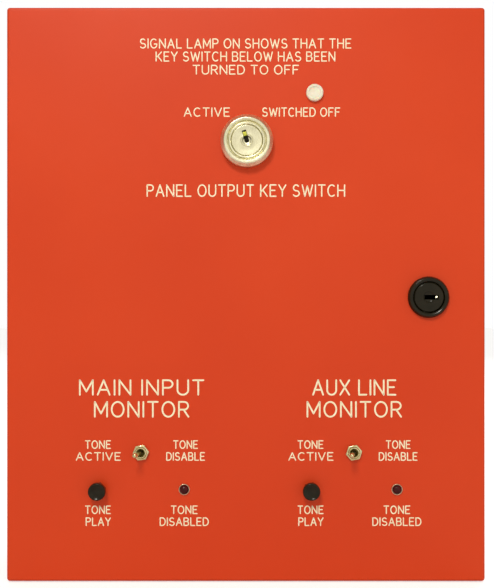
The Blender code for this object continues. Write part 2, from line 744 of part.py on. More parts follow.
def build_door():
    door = pivot("door_hinge_axis", (HINGE_X, HINGE_Y, 0.0))
    door_panel(door)
    door_gasket(door)
    cam_lock(door)
    key_switch(door)
    pilot_light(door)
    for channel in CHANNELS:
        toggle_switch(channel, door)
        push_button(channel, door)
        indicator(channel, door)
    return door


clear_scene()
build_cabinet()
harness_runs(build_door())
bpy.context.view_layer.update()
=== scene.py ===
"""The looks of the wall-mounted fire alarm tie and trouble panel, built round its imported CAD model.

Shapes are drawn in millimetres in the CAD model's own frame and become metres when they are stored.
X runs to the right as a person faces the door, Y into the wall and Z up.
"""

import math

import bmesh
import bpy
from mathutils import Matrix, Vector


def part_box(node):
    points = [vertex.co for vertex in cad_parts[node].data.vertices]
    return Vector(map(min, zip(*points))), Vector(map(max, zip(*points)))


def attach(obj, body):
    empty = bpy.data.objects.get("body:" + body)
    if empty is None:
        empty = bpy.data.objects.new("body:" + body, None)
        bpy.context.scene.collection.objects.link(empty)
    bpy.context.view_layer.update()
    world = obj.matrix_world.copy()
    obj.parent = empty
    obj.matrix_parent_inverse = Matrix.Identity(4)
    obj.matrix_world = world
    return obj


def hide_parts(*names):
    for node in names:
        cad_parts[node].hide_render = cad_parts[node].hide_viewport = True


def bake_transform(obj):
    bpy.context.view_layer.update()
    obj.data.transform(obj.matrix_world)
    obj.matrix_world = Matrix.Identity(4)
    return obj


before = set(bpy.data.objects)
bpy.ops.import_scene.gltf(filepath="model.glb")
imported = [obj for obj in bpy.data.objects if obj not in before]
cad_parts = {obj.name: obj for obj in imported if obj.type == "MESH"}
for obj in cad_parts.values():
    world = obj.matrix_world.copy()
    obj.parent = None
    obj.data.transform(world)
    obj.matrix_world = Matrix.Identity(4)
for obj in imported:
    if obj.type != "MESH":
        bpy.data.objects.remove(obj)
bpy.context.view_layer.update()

MM = 0.001
FRONT = Vector((0.0, -1.0, 0.0))
UP = Vector((0.0, 0.0, 1.0))
INWARD = Matrix.Rotation(math.pi, 4, "Z")
CHANNELS = (1, 2)
# Signs of the four corners of a pattern
QUARTERS = ((-1, -1), (-1, 1), (1, -1), (1, 1))
# How far up and across each relay terminal lies from the middle of its base
RELAY_TERMINALS = [(side * 19.0, step * 9.0) for side in (-1, 1) for step in (-1, 0, 1)]


# Places, read from the frame


def corners(node):
    """A CAD node's lowest and highest corners, in millimetres."""
    low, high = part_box(node)
    return low / MM, high / MM


def axis_of(node):
    """The (x, z) place of the middle of a control."""
    low, high = corners(node)
    return ((low.x + high.x) / 2, (low.z + high.z) / 2)


DOOR_LOW, DOOR_HIGH = corners("door_panel")
SHEET = 1.5
HALF_W = DOOR_HIGH.x
HALF_H = DOOR_HIGH.z
INNER_W = HALF_W - SHEET
INNER_H = HALF_H - SHEET
DOOR_FRONT = DOOR_LOW.y
DOOR_INNER = DOOR_FRONT + SHEET
DOOR_REAR = DOOR_HIGH.y
BODY_FRONT = DOOR_REAR + 2.0
LIP_REAR = BODY_FRONT + SHEET
BEND = 1.6
TOGGLE_LEAN = math.radians(11.0)
CLEARANCE = 0.3

COLLAR_FRONT = corners("cabinet_shell")[0].y
OPENING_LEFT = -109.0
OPENING_RIGHT = 116.0
OPENING_HALF_H = 141.4

LOCK_AT = axis_of("lock_housing")
KEY_SWITCH_AT = axis_of("key_switch_housing")
PILOT_AT = axis_of("pilot_lens")
TOGGLE_AT = axis_of("toggle_nut_1")
BUTTON_AT = axis_of("button_cap_1")
LED_AT = axis_of("led_holder_1")
CHANNEL_PITCH = axis_of("toggle_nut_2")[0] - TOGGLE_AT[0]

HINGE_X = -HALF_W + 5.0
HINGE_Y = DOOR_FRONT + 5.0
PLATE_LOW, PLATE_HIGH = corners("mounting_plate")
DEVICE_REAR = PLATE_LOW.y - CLEARANCE
CONDUIT_AT = (0.0, -42.0)
WALL_SCREW_AT = (85.0, 134.0)


def on_door(at, height=0.0):
    """A place at a height in front of the door's outer face."""
    return Vector((at[0], DOOR_FRONT - height, at[1]))


def in_channel(at, channel):
    """A control's place in a channel, from its place in the first."""
    return (at[0] + (channel - 1) * CHANNEL_PITCH, at[1])


# Mesh tools


def add_block(shape, low, high):
    """Adds a plain box between two corners."""
    low = Vector(low)
    high = Vector(high)
    size = Matrix.Diagonal((*(high - low), 1.0))
    place = Matrix.Translation((low + high) / 2)
    return bmesh.ops.create_cube(shape, size=1.0, matrix=place @ size)["verts"]


def soften(shape, radius, steps=2, edges=None):
    """Rounds a shape's edges, or only some of them, to a radius."""
    chosen = edges or shape.edges[:]
    bmesh.ops.bevel(shape, geom=chosen, offset=radius, segments=steps, profile=0.5, affect="EDGES")


def block(low, high, radius=0.0, steps=3):
    """A box between two corners, with its edges rounded to a radius."""
    shape = bmesh.new()
    add_block(shape, low, high)
    if radius:
        soften(shape, radius, steps)
    return shape


def add_rings(shape, rings, base, direction, closed):
    """Skins rings of (radius, height) points round the line from base along direction."""
    turn = UP.rotation_difference(Vector(direction)).to_matrix()
    segments = max(len(ring) for ring in rings)
    stored = []
    for ring in rings:
        verts = []
        for step, (radius, height) in enumerate(ring):
            angle = math.tau * step / segments
            spot = Vector((radius * math.cos(angle), radius * math.sin(angle), height))
            verts.append(shape.verts.new(Vector(base) + turn @ spot))
        stored.append(verts)
    pairs = list(zip(stored, stored[1:]))
    if closed:
        pairs.append((stored[-1], stored[0]))
    for first, second in pairs:
        for step in range(segments):
            after = (step + 1) % segments
            around = [
                first[step % len(first)],
                first[after % len(first)],
                second[after % len(second)],
                second[step % len(second)],
            ]
            face = list(dict.fromkeys(around))
            if len(face) > 2:
                shape.faces.new(face)


def fillet(profile, radius=0.15, steps=3):
    """Rounds the corners of a profile, apart from its ends when they lie on the axis."""
    closed = profile[0][0] > 0.0 and profile[-1][0] > 0.0
    rounded = []
    for index, point in enumerate(profile):
        here = Vector(point)
        if not closed and index in (0, len(profile) - 1):
            rounded.append(tuple(here))
            continue
        before = Vector(profile[index - 1]) - here
        after = Vector(profile[(index + 1) % len(profile)]) - here
        reach = min(radius, 0.4 * before.length, 0.4 * after.length)
        start = here + before.normalized() * reach
        end = here + after.normalized() * reach
        for step in range(steps + 1):
            t = step / steps
            rounded.append(tuple((1 - t) ** 2 * start + 2 * t * (1 - t) * here + t * t * end))
    return rounded


def add_turned(shape, profile, base, direction=FRONT, segments=64):
    """Turns a profile of (radius, height) points. It is a tube unless it ends on the axis."""
    rings = [[point] * (segments if point[0] > 0.0 else 1) for point in profile]
    closed = profile[0][0] > 0.0 and profile[-1][0] > 0.0
    add_rings(shape, rings, base, direction, closed)


def turned(profile, base, direction=FRONT, segments=64, radius=0.15):
    shape = bmesh.new()
    add_turned(shape, fillet(profile, radius) if radius else profile, base, direction, segments)
    return shape


def rod(radius, low, high):
    return [(0.0, low), (radius, low), (radius, high), (0.0, high)]


def thread(radius, low, high, pitch=0.63, depth=0.22):
    """Profile points of a thread's crests and roots, from one height to another."""
    points = []
    turns = max(1, int(abs(high - low) / pitch))
    for step in range(turns * 2 + 1):
        height = low + (high - low) * step / (turns * 2)
        points.append((radius - (depth if step % 2 else 0.0), height))
    return points


def add_nut(shape, across_flats, hole_r, base, low, high, segments=72, turn=0.0):
    """A hexagon nut whose corners are turned down to a cone on both faces."""
    flat = across_flats / 2
    crown = flat * 0.96
    slope = math.tan(math.radians(30.0))
    rim = []
    for step in range(segments):
        angle = math.tau * step / segments - math.radians(turn)
        rim.append(flat / math.cos((angle % (math.pi / 3)) - math.pi / 6))
    inner = hole_r + 0.25
    rings = [[(hole_r, low + 0.25)] * segments, [(hole_r, high - 0.25)] * segments]
    rings += [[(inner, high)] * segments, [(crown, high)] * segments]
    rings += [[(edge, high - (edge - crown) * slope) for edge in rim]]
    rings += [[(edge, low + (edge - crown) * slope) for edge in rim]]
    rings += [[(crown, low)] * segments, [(inner, low)] * segments]
    add_rings(shape, rings, base, FRONT, True)


def skin(shape, rings):
    """Closes the first and last of several rings of vertices, and joins each to the next."""
    shape.faces.new(rings[0])
    shape.faces.new(rings[-1])
    for first, second in zip(rings, rings[1:]):
        for step in range(len(first)):
            after = (step + 1) % len(first)
            shape.faces.new((first[step], first[after], second[after], second[step]))


def add_prism(shape, outline, low, high, along):
    """Extrudes an outline of (u, v) points, along Z from XY points or along Y from XZ points."""
    ends = []
    for level in (low, high):
        ring = []
        for u, v in outline:
            spot = (u, v, level) if along == "Z" else (u, level, v)
            ring.append(shape.verts.new(spot))
        ends.append(ring)
    skin(shape, ends)


def arc(centre, radius, start, end, steps):
    """Points along an arc, from one angle in degrees to another. The radius may be a pair."""
    reach = radius if isinstance(radius, tuple) else (radius, radius)
    points = []
    for step in range(steps + 1):
        angle = math.radians(start + (end - start) * step / steps)
        points.append((centre[0] + reach[0] * math.cos(angle), centre[1] + reach[1] * math.sin(angle)))
    return points


def smooth_route(points, steps):
    """Catmull-Rom points through a route's own points."""
    points = [Vector(point) for point in points]
    ends = [2 * points[0] - points[1]] + points + [2 * points[-1] - points[-2]]
    smooth = []
    for before, start, end, after in zip(ends, ends[1:], ends[2:], ends[3:]):
        for step in range(steps):
            t = step / steps
            middle = 2 * start + (end - before) * t
            bend = (2 * before - 5 * start + 4 * end - after) * t**2
            rest = (3 * start - before - 3 * end + after) * t**3
            smooth.append((middle + bend + rest) / 2)
    smooth.append(points[-1])
    return smooth


def route_frames(points):
    """The tangent and two steady cross directions at each point of a route."""
    frames = []
    side = None
    for index, point in enumerate(points):
        before = points[max(index - 1, 0)]
        after = points[min(index + 1, len(points) - 1)]
        tangent = (after - before).normalized()
        if side is None:
            side = tangent.orthogonal().normalized()
        side = (side - side.dot(tangent) * tangent).normalized()
        frames.append((tangent, side, tangent.cross(side)))
    return frames


def add_tube(shape, points, radius, sides=12, domes=2):
    """A round tube along points, with domed ends."""
    frames = route_frames(points)
    rings = []
    for step in range(domes):
        angle = math.pi / 2 * (1 - (step + 0.5) / domes)
        rings.append((points[0] - frames[0][0] * radius * math.sin(angle), frames[0], math.cos(angle)))
    rings += [(point, axes, 1.0) for point, axes in zip(points, frames)]
    for step in range(domes):
        angle = math.pi / 2 * (step + 0.5) / domes
        rings.append((points[-1] + frames[-1][0] * radius * math.sin(angle), frames[-1], math.cos(angle)))
    stored = []
    for centre, (_, side, other), share in rings:
        ring = []
        for step in range(sides):
            angle = math.tau * step / sides
            spot = side * math.cos(angle) + other * math.sin(angle)
            ring.append(shape.verts.new(centre + spot * radius * share))
        stored.append(ring)
    skin(shape, stored)


def stamp(shape, mesh, place, turn=Matrix.Identity(4)):
    """Adds a copy of a mesh, drawn round the origin, turned and then moved to a place."""
    known = len(shape.verts)
    shape.from_mesh(mesh)
    shape.verts.ensure_lookup_table()
    matrix = Matrix.Translation(Vector(place)) @ turn
    bmesh.ops.transform(shape, matrix=matrix, verts=shape.verts[known:])


def loose(name, shape):
    """An object in the scene's collection that holds a shape, still in millimetres."""
    bmesh.ops.recalc_face_normals(shape, faces=shape.faces)
    mesh = bpy.data.meshes.new(name)
    shape.to_mesh(mesh)
    shape.free()
    obj = bpy.data.objects.new(name, mesh)
    bpy.context.scene.collection.objects.link(obj)
    return obj


def carved(shape, *steps):
    """Applies (operation, shape) steps to a shape, and gives the result as a shape."""
    target = loose("carving", shape)
    tools = []
    for operation, tool_shape in steps:
        tool = loose("carving_tool", tool_shape)
        tools.append(tool)
        modifier = target.modifiers.new("carve", "BOOLEAN")
        modifier.operation = operation
        modifier.solver = "EXACT"
        modifier.object = tool
    bpy.context.view_layer.update()
    evaluated = target.evaluated_get(bpy.context.evaluated_depsgraph_get())
    result = bmesh.new()
    result.from_mesh(evaluated.data)
    for obj in [target, *tools]:
        bpy.data.objects.remove(obj, do_unlink=True)
    return result


def piece(name, shape, body, look, stands_for=(), place=(0.0, 0.0, 0.0), sharp=35.0):
    """Stores a shape in metres with its origin at place, attaches it to its body and hides the CAD parts it
    stands for.
    """
    place = Vector(place)
    bmesh.ops.translate(shape, verts=shape.verts, vec=-place)
    bmesh.ops.scale(shape, verts=shape.verts, vec=(MM, MM, MM))
    obj = loose(name, shape)
    obj.location = place * MM
    obj.data.materials.append(look.material)
    obj.data.shade_smooth()
    obj.data.set_sharp_from_angle(angle=math.radians(sharp))
    soft = obj.modifiers.new("even_normals", "WEIGHTED_NORMAL")
    soft.keep_sharp = True
    soft.weight = 80
    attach(obj, body)
    for node in stands_for:
        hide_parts(node)
    return obj


# Materials


class Look:
    """A Principled material, the record slot it stands for and helpers for its procedural detail."""

    def __init__(self, name, slot, colour, roughness, metallic=0.0, **sockets):
        self.slot = slot
        self.material = bpy.data.materials.new(name)
        self.material.use_nodes = True
        self.nodes = self.material.node_tree.nodes
        self.links = self.material.node_tree.links
        self.shader = self.nodes["Principled BSDF"]
        self.shader.inputs["Base Color"].default_value = (*colour, 1.0)
        self.shader.inputs["Roughness"].default_value = roughness
        self.shader.inputs["Metallic"].default_value = metallic
        for socket, value in sockets.items():
            self.shader.inputs[socket.replace("_", " ")].default_value = value
        self.place = self.nodes.new("ShaderNodeTexCoord").outputs["Object"]

    def stretched(self, scale):
        """Coordinates scaled apart along X, Y and Z."""
        mapping = self.nodes.new("ShaderNodeMapping")
        mapping.inputs["Scale"].default_value = scale
        self.links.new(self.place, mapping.inputs["Vector"])
        return mapping.outputs["Vector"]

    def round_axis(self):
        """Coordinates that vary with the distance from the object's Y axis, and along it."""
        split = self.nodes.new("ShaderNodeSeparateXYZ")
        self.links.new(self.place, split.inputs[0])
        flat = self.nodes.new("ShaderNodeCombineXYZ")
        self.links.new(split.outputs["X"], flat.inputs["X"])
        self.links.new(split.outputs["Z"], flat.inputs["Y"])
        length = self.nodes.new("ShaderNodeVectorMath")
        length.operation = "LENGTH"
        self.links.new(flat.outputs[0], length.inputs[0])
        made = self.nodes.new("ShaderNodeCombineXYZ")
        self.links.new(length.outputs["Value"], made.inputs["X"])
        self.links.new(split.outputs["Y"], made.inputs["Y"])
        return made.outputs[0]

    def noise(self, scale, detail=3.0, roughness=0.5, at=None):
        texture = self.nodes.new("ShaderNodeTexNoise")
        texture.inputs["Scale"].default_value = scale
        texture.inputs["Detail"].default_value = detail
        texture.inputs["Roughness"].default_value = roughness
        self.links.new(at or self.place, texture.inputs["Vector"])
        return texture.outputs["Fac"]

    def cells(self, scale):
        """The distance to the nearest of many scattered points."""
        texture = self.nodes.new("ShaderNodeTexVoronoi")
        texture.inputs["Scale"].default_value = scale
        self.links.new(self.place, texture.inputs["Vector"])
        return texture.outputs["Distance"]

    def bands(self, scale, direction, distortion=0.0):
        texture = self.nodes.new("ShaderNodeTexWave")
        texture.bands_direction = direction
        texture.inputs["Scale"].default_value = scale
        texture.inputs["Distortion"].default_value = distortion
        self.links.new(self.place, texture.inputs["Vector"])
        return texture.outputs["Fac"]

    def ranged(self, value, low, high, start=0.0, end=1.0):
        """A value mapped from start..end to low..high."""
        node = self.nodes.new("ShaderNodeMapRange")
        node.inputs["From Min"].default_value = start
        node.inputs["From Max"].default_value = end
        node.inputs["To Min"].default_value = low
        node.inputs["To Max"].default_value = high
        self.links.new(value, node.inputs["Value"])
        return node.outputs["Result"]

    def blended(self, value, first, second, start=0.3, end=0.7):
        """Two colours mixed by a value between start and end."""
        ramp = self.nodes.new("ShaderNodeValToRGB")
        ramp.color_ramp.elements[0].position = start
        ramp.color_ramp.elements[0].color = (*first, 1.0)
        ramp.color_ramp.elements[1].position = end
        ramp.color_ramp.elements[1].color = (*second, 1.0)
        self.links.new(value, ramp.inputs["Fac"])
        return ramp.outputs["Color"]

    def paint(self, colour):
        self.links.new(colour, self.shader.inputs["Base Color"])

    def gloss(self, value):
        self.links.new(value, self.shader.inputs["Roughness"])

    def bump(self, value, depth, strength=1.0):
        """Adds relief of a depth in metres on top of any bump that is there already."""
        node = self.nodes.new("ShaderNodeBump")
        node.inputs["Distance"].default_value = depth
        node.inputs["Strength"].default_value = strength
        self.links.new(value, node.inputs["Height"])
        normal = self.shader.inputs["Normal"]
        if normal.is_linked:
            self.links.new(normal.links[0].from_socket, node.inputs["Normal"])
        self.links.new(node.outputs["Normal"], normal)


def red_enamel():
    """Baked enamel: faint orange peel, slow drift in tone and a few dust nibs."""
    look = Look("red_enamel", "red_enamel", (0.68, 0.05, 0.007), 0.4, Specular_IOR_Level=0.25)
    look.paint(look.blended(look.noise(9.0, 2.0), (0.66, 0.048, 0.0065), (0.70, 0.056, 0.008)))
    look.gloss(look.ranged(look.noise(60.0, 3.0), 0.36, 0.44, 0.3, 0.7))
    look.bump(look.noise(420.0, 2.0), 0.00002, 0.4)
    nibs = look.ranged(look.cells(95.0), 1.0, 0.0, 0.0, 0.035)
    look.bump(nibs, 0.00005, 0.6)
    return look


def legend_paint():
    """Cream paint of the raised legends, slightly uneven."""
    look = Look("legend_paint", "white_lens", (0.95, 0.86, 0.6), 0.5)
    look.paint(look.blended(look.noise(900.0, 3.0), (0.92, 0.80, 0.50), (0.98, 0.92, 0.70)))
    look.bump(look.noise(2500.0, 2.0), 0.00002, 0.4)
    return look


def plated(name, slot, dark, pale, gloss, ring_depth=0.0):
    """Plated metal: cloudy tone, fine scratches and, on turned pieces, rings round the axis."""
    look = Look(name, slot, pale, 0.3, 1.0)
    look.paint(look.blended(look.noise(260.0, 4.0), dark, pale))
    scratches = look.noise(1.0, 2.0, at=look.stretched((6000.0, 900.0, 350.0)))
    look.gloss(look.ranged(scratches, gloss[0], gloss[1], 0.25, 0.75))
    look.bump(scratches, 0.000002, 0.2)
    if ring_depth:
        look.bump(look.noise(5200.0, 1.0, at=look.round_axis()), ring_depth, 0.5)
    return look


def black_plastic():
    """Black moulding with a faint warm cast, uneven gloss and a fine grain."""
    look = Look("black_plastic", "black_plastic", (0.012, 0.010, 0.005), 0.2, Specular_IOR_Level=0.22)
    look.paint(look.blended(look.noise(180.0, 3.0), (0.010, 0.008, 0.003), (0.018, 0.014, 0.006)))
    look.gloss(look.ranged(look.noise(700.0, 4.0), 0.13, 0.24, 0.3, 0.7))
    look.bump(look.noise(3200.0, 2.0), 0.000006, 0.4)
    return look


def phenolic():
    """Brown-black moulded phenolic with filler specks and a matt skin."""
    look = Look("phenolic", "phenolic", (0.05, 0.035, 0.028), 0.5)
    look.paint(look.blended(look.noise(1500.0, 4.0, 0.7), (0.028, 0.02, 0.016), (0.085, 0.06, 0.046)))
    look.gloss(look.ranged(look.noise(400.0), 0.42, 0.6, 0.3, 0.7))
    look.bump(look.noise(1800.0, 3.0), 0.00001, 0.5)
    return look


def relay_cover():
    """Clear moulded cover with faint ripples and uneven gloss."""
    look = Look("relay_cover", "relay_cover", (0.8, 0.83, 0.82), 0.1, Alpha=0.09, IOR=1.5, Coat_Weight=0.5)
    look.paint(look.blended(look.noise(60.0, 2.0), (0.74, 0.78, 0.77), (0.84, 0.87, 0.86)))
    look.gloss(look.ranged(look.noise(500.0, 4.0), 0.06, 0.2, 0.35, 0.7))
    look.bump(look.noise(90.0, 1.0), 0.00003, 0.3)
    return look


def copper_winding():
    """Enamelled wire laid in close turns along the bobbin, with painted shade in the grooves between turns
    and a painted highlight on their crowns.
    """
    look = Look("copper_winding", "coil_winding", (0.5, 0.17, 0.06), 0.3, 0.75)
    turns = look.bands(520.0, "Y", 0.2)
    # Painted shade in the grooves between turns and painted highlight on their crowns
    look.paint(look.blended(turns, (0.2, 0.05, 0.02), (0.66, 0.26, 0.09), 0.1, 0.8))
    look.gloss(look.ranged(look.noise(900.0), 0.24, 0.4, 0.3, 0.7))
    look.bump(turns, 0.00012, 0.8)
    return look


def gasket_foam():
    """Closed-cell foam: open pores cut through at the surface, their pits painted darker as painted shade.
    """
    look = Look("gasket_foam", "gasket_foam", (0.03, 0.03, 0.03), 0.85)
    pores = look.cells(1500.0)
    # The pore pits are painted darker than the skin round them: painted shade in the pores
    look.paint(look.blended(pores, (0.012, 0.012, 0.012), (0.05, 0.05, 0.052), 0.1, 0.6))
    look.gloss(look.ranged(look.noise(300.0), 0.75, 0.95, 0.3, 0.7))
    look.bump(pores, 0.0002, 0.7)
    return look


def white_lens():
    """Milky lens plastic, a little uneven in depth."""
    colour = (0.86, 0.8, 0.64)
    look = Look("white_lens", "white_lens", colour, 0.35, Subsurface_Weight=0.3, Subsurface_Scale=0.002)
    look.paint(look.blended(look.noise(240.0, 2.0), (0.80, 0.73, 0.56), (0.9, 0.85, 0.70)))
    look.gloss(look.ranged(look.noise(600.0), 0.28, 0.42, 0.3, 0.7))
    look.bump(look.noise(1500.0, 2.0), 0.00001, 0.3)
    return look


def red_lens():
    """Dark red lamp epoxy, unlit."""
    look = Look("red_lens", "red_lens", (0.06, 0.001, 0.002), 0.06, Specular_IOR_Level=0.25)
    look.paint(look.blended(look.noise(500.0, 2.0), (0.036, 0.0008, 0.001), (0.075, 0.0015, 0.003)))
    look.gloss(look.ranged(look.noise(900.0), 0.03, 0.09, 0.3, 0.7))
    look.bump(look.noise(700.0, 1.0), 0.00001, 0.2)
    return look


def wire_cover(name, colour):
    """Extruded wire insulation with a waxy bloom."""
    dark = tuple(part * 0.75 for part in colour)
    look = Look(name, "cable_jacket", colour, 0.4)
    look.paint(look.blended(look.noise(120.0, 3.0), dark, colour))
    look.gloss(look.ranged(look.noise(500.0), 0.32, 0.5, 0.3, 0.7))
    look.bump(look.noise(1400.0, 2.0), 0.00001, 0.4)
    return look


def floor_paint():
    """Pale paint that the camera sees nearly as bright as the room behind it."""
    look = Look("floor_paint", None, (0.86, 0.86, 0.85), 0.7, Emission_Color=(1.0, 1.0, 1.0, 1.0))
    look.paint(look.blended(look.noise(6.0, 3.0), (0.85, 0.85, 0.84), (0.88, 0.88, 0.87)))
    look.bump(look.noise(400.0, 3.0), 0.00005, 0.3)
    seen = look.nodes.new("ShaderNodeLightPath").outputs["Is Camera Ray"]
    look.links.new(look.ranged(seen, 0.0, 0.55), look.shader.inputs["Emission Strength"])
    return look


ENAMEL = red_enamel()
LEGEND = legend_paint()
NICKEL = plated("nickel", "nickel", (0.80, 0.76, 0.53), (0.92, 0.88, 0.64), (0.24, 0.33), 0.0000005)
YELLOW_ZINC = plated("yellow_zinc", "nickel", (0.60, 0.54, 0.27), (0.88, 0.81, 0.48), (0.2, 0.32), 0.0000008)
ZINC = plated("zinc_plate", "zinc_plate", (0.50, 0.50, 0.44), (0.68, 0.67, 0.58), (0.3, 0.5))
BRIGHT_STEEL = ((0.36, 0.36, 0.36), (0.56, 0.56, 0.55), (0.28, 0.45), 0.000001)
STEEL = plated("grey_steel", "grey_steel", *BRIGHT_STEEL)
SCREW_ZINC = plated("screw_zinc", "zinc_plate", *BRIGHT_STEEL)
# Brass darkened to stand for the shade inside the toggle bushings' bores: painted shade
SHADED_BRASS = plated("brass_painted_shade", "nickel", (0.12, 0.09, 0.02), (0.26, 0.20, 0.05), (0.35, 0.55))
BRASS = plated("brass", "nickel", (0.56, 0.55, 0.07), (0.74, 0.74, 0.15), (0.2, 0.4))
BLACK = black_plastic()
PHENOLIC = phenolic()
CLEAR = relay_cover()
COPPER = copper_winding()
FOAM = gasket_foam()
WHITE = white_lens()
RED_LENS = red_lens()
WIRE_COLOURS = {
    "red": (0.5, 0.02, 0.015),
    "black": (0.02, 0.02, 0.022),
    "white": (0.78, 0.76, 0.7),
    "yellow": (0.75, 0.5, 0.03),
    "blue": (0.03, 0.09, 0.38),
    "green": (0.02, 0.24, 0.08),
    "brown": (0.16, 0.06, 0.025),
}
WIRES = {name: wire_cover(f"wire_{name}", colour) for name, colour in WIRE_COLOURS.items()}
NYLON = wire_cover("tie_nylon", (0.72, 0.7, 0.62))


# Small hardware


def screw_head(radius, height, slot, cross=False):
    """A pan head on the origin, rising along -Y, with one slot or a cross of two."""
    outer = [(0.0, 0.0), (radius, 0.0), (radius, height * 0.6), (radius * 0.7, height), (0.0, height)]
    head = turned(outer, (0.0, 0.0, 0.0), FRONT, 32)
    half = slot / 2
    reach = radius * 0.7 if cross else radius * 1.2
    outline = [(reach, -half), (reach, half), (-reach, half), (-reach, -half)]
    if cross:
        corner = [(half, half), (half, reach), (-half, reach), (-half, half)]
        outline[2:2] = corner
        outline += [(-u, -v) for u, v in corner]
    groove = bmesh.new()
    add_prism(groove, outline, -height - 1.0, -height * 0.5, "Y")
    mesh = bpy.data.meshes.new("screw_head")
    result = carved(head, ("DIFFERENCE", groove))
    result.to_mesh(mesh)
    result.free()
    return mesh


def nut_piece(name, node, across_flats, hole_r, look, turn=0.0):
    """A finely made nut in place of the node's plain one, on the door."""
    low, high = corners(node)
    at = axis_of(node)
    bottom = DOOR_FRONT - high.y
    top = DOOR_FRONT - low.y
    shape = bmesh.new()
    add_nut(shape, across_flats, hole_r, on_door(at), bottom, top, 72, turn)
    piece(name, shape, "door", look, [node], on_door(at))


# The cabinet


def keyhole(at):
    """Outline of a round hole for a screw's head, with a slot above it for its shank."""
    head_r = 5.5
    slot_r = 2.6
    meet = math.degrees(math.acos(slot_r / head_r))
    outline = arc(at, head_r, meet, -180.0 - meet, 36)
    outline += arc((at[0], at[1] + 11.0), slot_r, 180.0, 0.0, 16)
    return outline


def shell_holes():
    """Hinge notches, wall screw holes, the conduit hole, and the knockouts' rings and pry marks."""
    holes = bmesh.new()
    for side in (1, -1):
        lower, upper = sorted((side * 147.5, side * INNER_H))
        add_block(holes, (-INNER_W, BODY_FRONT - 1.0, lower), (HINGE_X + 4.9, LIP_REAR + 1.0, upper))
        add_prism(holes, keyhole((side * WALL_SCREW_AT[0], WALL_SCREW_AT[1] - 6.0)), -3.0, 1.0, "Y")
        add_turned(holes, rod(4.0, 0.0, 4.0), (side * WALL_SCREW_AT[0], 1.0, -WALL_SCREW_AT[1]), FRONT, 40)
    add_turned(holes, rod(11.5, 0.0, 5.0), (*CONDUIT_AT, HALF_H - 4.0), UP, 64)
    ring = [(10.7, -0.35), (11.2, -0.35), (11.2, 1.0), (10.7, 1.0)]
    mark = [(0.0, -0.4), (0.9, -0.4), (0.9, 1.0), (0.0, 1.0)]
    for x in (-60.0, 60.0):
        add_turned(holes, ring, (x, CONDUIT_AT[1], HALF_H), UP, 64)
        add_turned(holes, mark, (x, CONDUIT_AT[1] + 6.5, HALF_H), UP, 20)
    for x in (-60.0, 0.0, 60.0):
        add_turned(holes, ring, (x, CONDUIT_AT[1], -HALF_H), -UP, 64)
        add_turned(holes, mark, (x, CONDUIT_AT[1] + 6.5, -HALF_H), -UP, 20)
    return holes


def cabinet_shell():
    outer = block((-HALF_W, BODY_FRONT, -HALF_H), (HALF_W, 0.0, HALF_H), BEND, 6)
    collar_low = (OPENING_LEFT - SHEET, COLLAR_FRONT, -OPENING_HALF_H - SHEET)
    collar_high = (OPENING_RIGHT + SHEET, BODY_FRONT + SHEET / 2, OPENING_HALF_H + SHEET)
    inner = block((-INNER_W, LIP_REAR, -INNER_H), (INNER_W, -SHEET, INNER_H), 0.5, 2)
    opening_low = (OPENING_LEFT, COLLAR_FRONT - 1.0, -OPENING_HALF_H)
    opening_high = (OPENING_RIGHT, LIP_REAR + 1.0, OPENING_HALF_H)
    shell = carved(
        outer,
        ("UNION", block(collar_low, collar_high, 0.45, 2)),
        ("DIFFERENCE", inner),
        ("DIFFERENCE", block(opening_low, opening_high)),
        ("DIFFERENCE", shell_holes()),
    )
    piece("cabinet_shell_fine", shell, "cabinet", ENAMEL, ["cabinet_shell"])


def hinge(end, side):
    eye = (HINGE_X, HINGE_Y)
    low, high = corners(f"hinge_bracket_{end}")
    lip = LIP_REAR + 0.4
    outline = arc((low.x + 3.0, high.y - 3.0), 3.0, 90.0, 180.0, 6)
    outline += [(low.x, LIP_REAR), (HINGE_X + 0.6, HINGE_Y + 7.8)]
    outline += arc(eye, 3.2, 81.0, 360.0, 36)
    outline += [(HINGE_X + 4.4, HINGE_Y + 2.4), (HINGE_X + 4.4, lip), (high.x, lip)]
    outline += arc((high.x - 3.0, high.y - 3.0), 3.0, 0.0, 90.0, 6)
    plate = bmesh.new()
    add_prism(plate, outline, low.z, high.z, "Z")
    hole = turned(rod(1.9, -3.0, 3.0), (*eye, (low.z + high.z) / 2), UP, 32, 0.0)
    shape = carved(plate, ("DIFFERENCE", hole))
    piece(f"hinge_bracket_{end}_fine", shape, "cabinet", ZINC, [f"hinge_bracket_{end}"])

    head_top = 147.7
    profile = [(0.0, head_top - 2.0), (2.2, head_top - 2.0), (2.6, head_top - 1.5), (2.6, head_top)]
    profile += [(1.6, head_top), (1.6, HALF_H - 0.5), (1.2, HALF_H - 0.1), (0.0, HALF_H - 0.1)]
    place = (*eye, 0.0)
    shape = turned(profile, place, side * UP, 40)
    piece(f"hinge_pin_{end}_fine", shape, "cabinet", STEEL, [f"hinge_pin_{end}"], place)


def mounting_plate(screw):
    shape = block(PLATE_LOW, PLATE_HIGH, 0.4, 2)
    holes = bmesh.new()
    for x in (-70.0, 0.0, 70.0):
        for z in (-38.0, 38.0, 66.0):
            add_turned(holes, rod(1.6, -4.0, 4.0), (x, PLATE_LOW.y, z), FRONT, 20)
    shape = carved(shape, ("DIFFERENCE", holes))
    piece("mounting_plate_fine", shape, "cabinet", ZINC, ["mounting_plate"])
    heads = bmesh.new()
    for number in range(1, 5):
        node = f"plate_standoff_{number}"
        low, high = corners(node)
        at = axis_of(node)
        length = high.y - low.y
        post = bmesh.new()
        add_nut(post, 7.2, 1.6, (at[0], high.y, at[1]), 0.0, length, 48)
        piece(f"{node}_fine", post, "cabinet", ZINC, [node], (at[0], high.y, at[1]))
        stamp(heads, screw, (at[0], PLATE_LOW.y, at[1]))
    piece("plate_screws", heads, "cabinet", SCREW_ZINC)


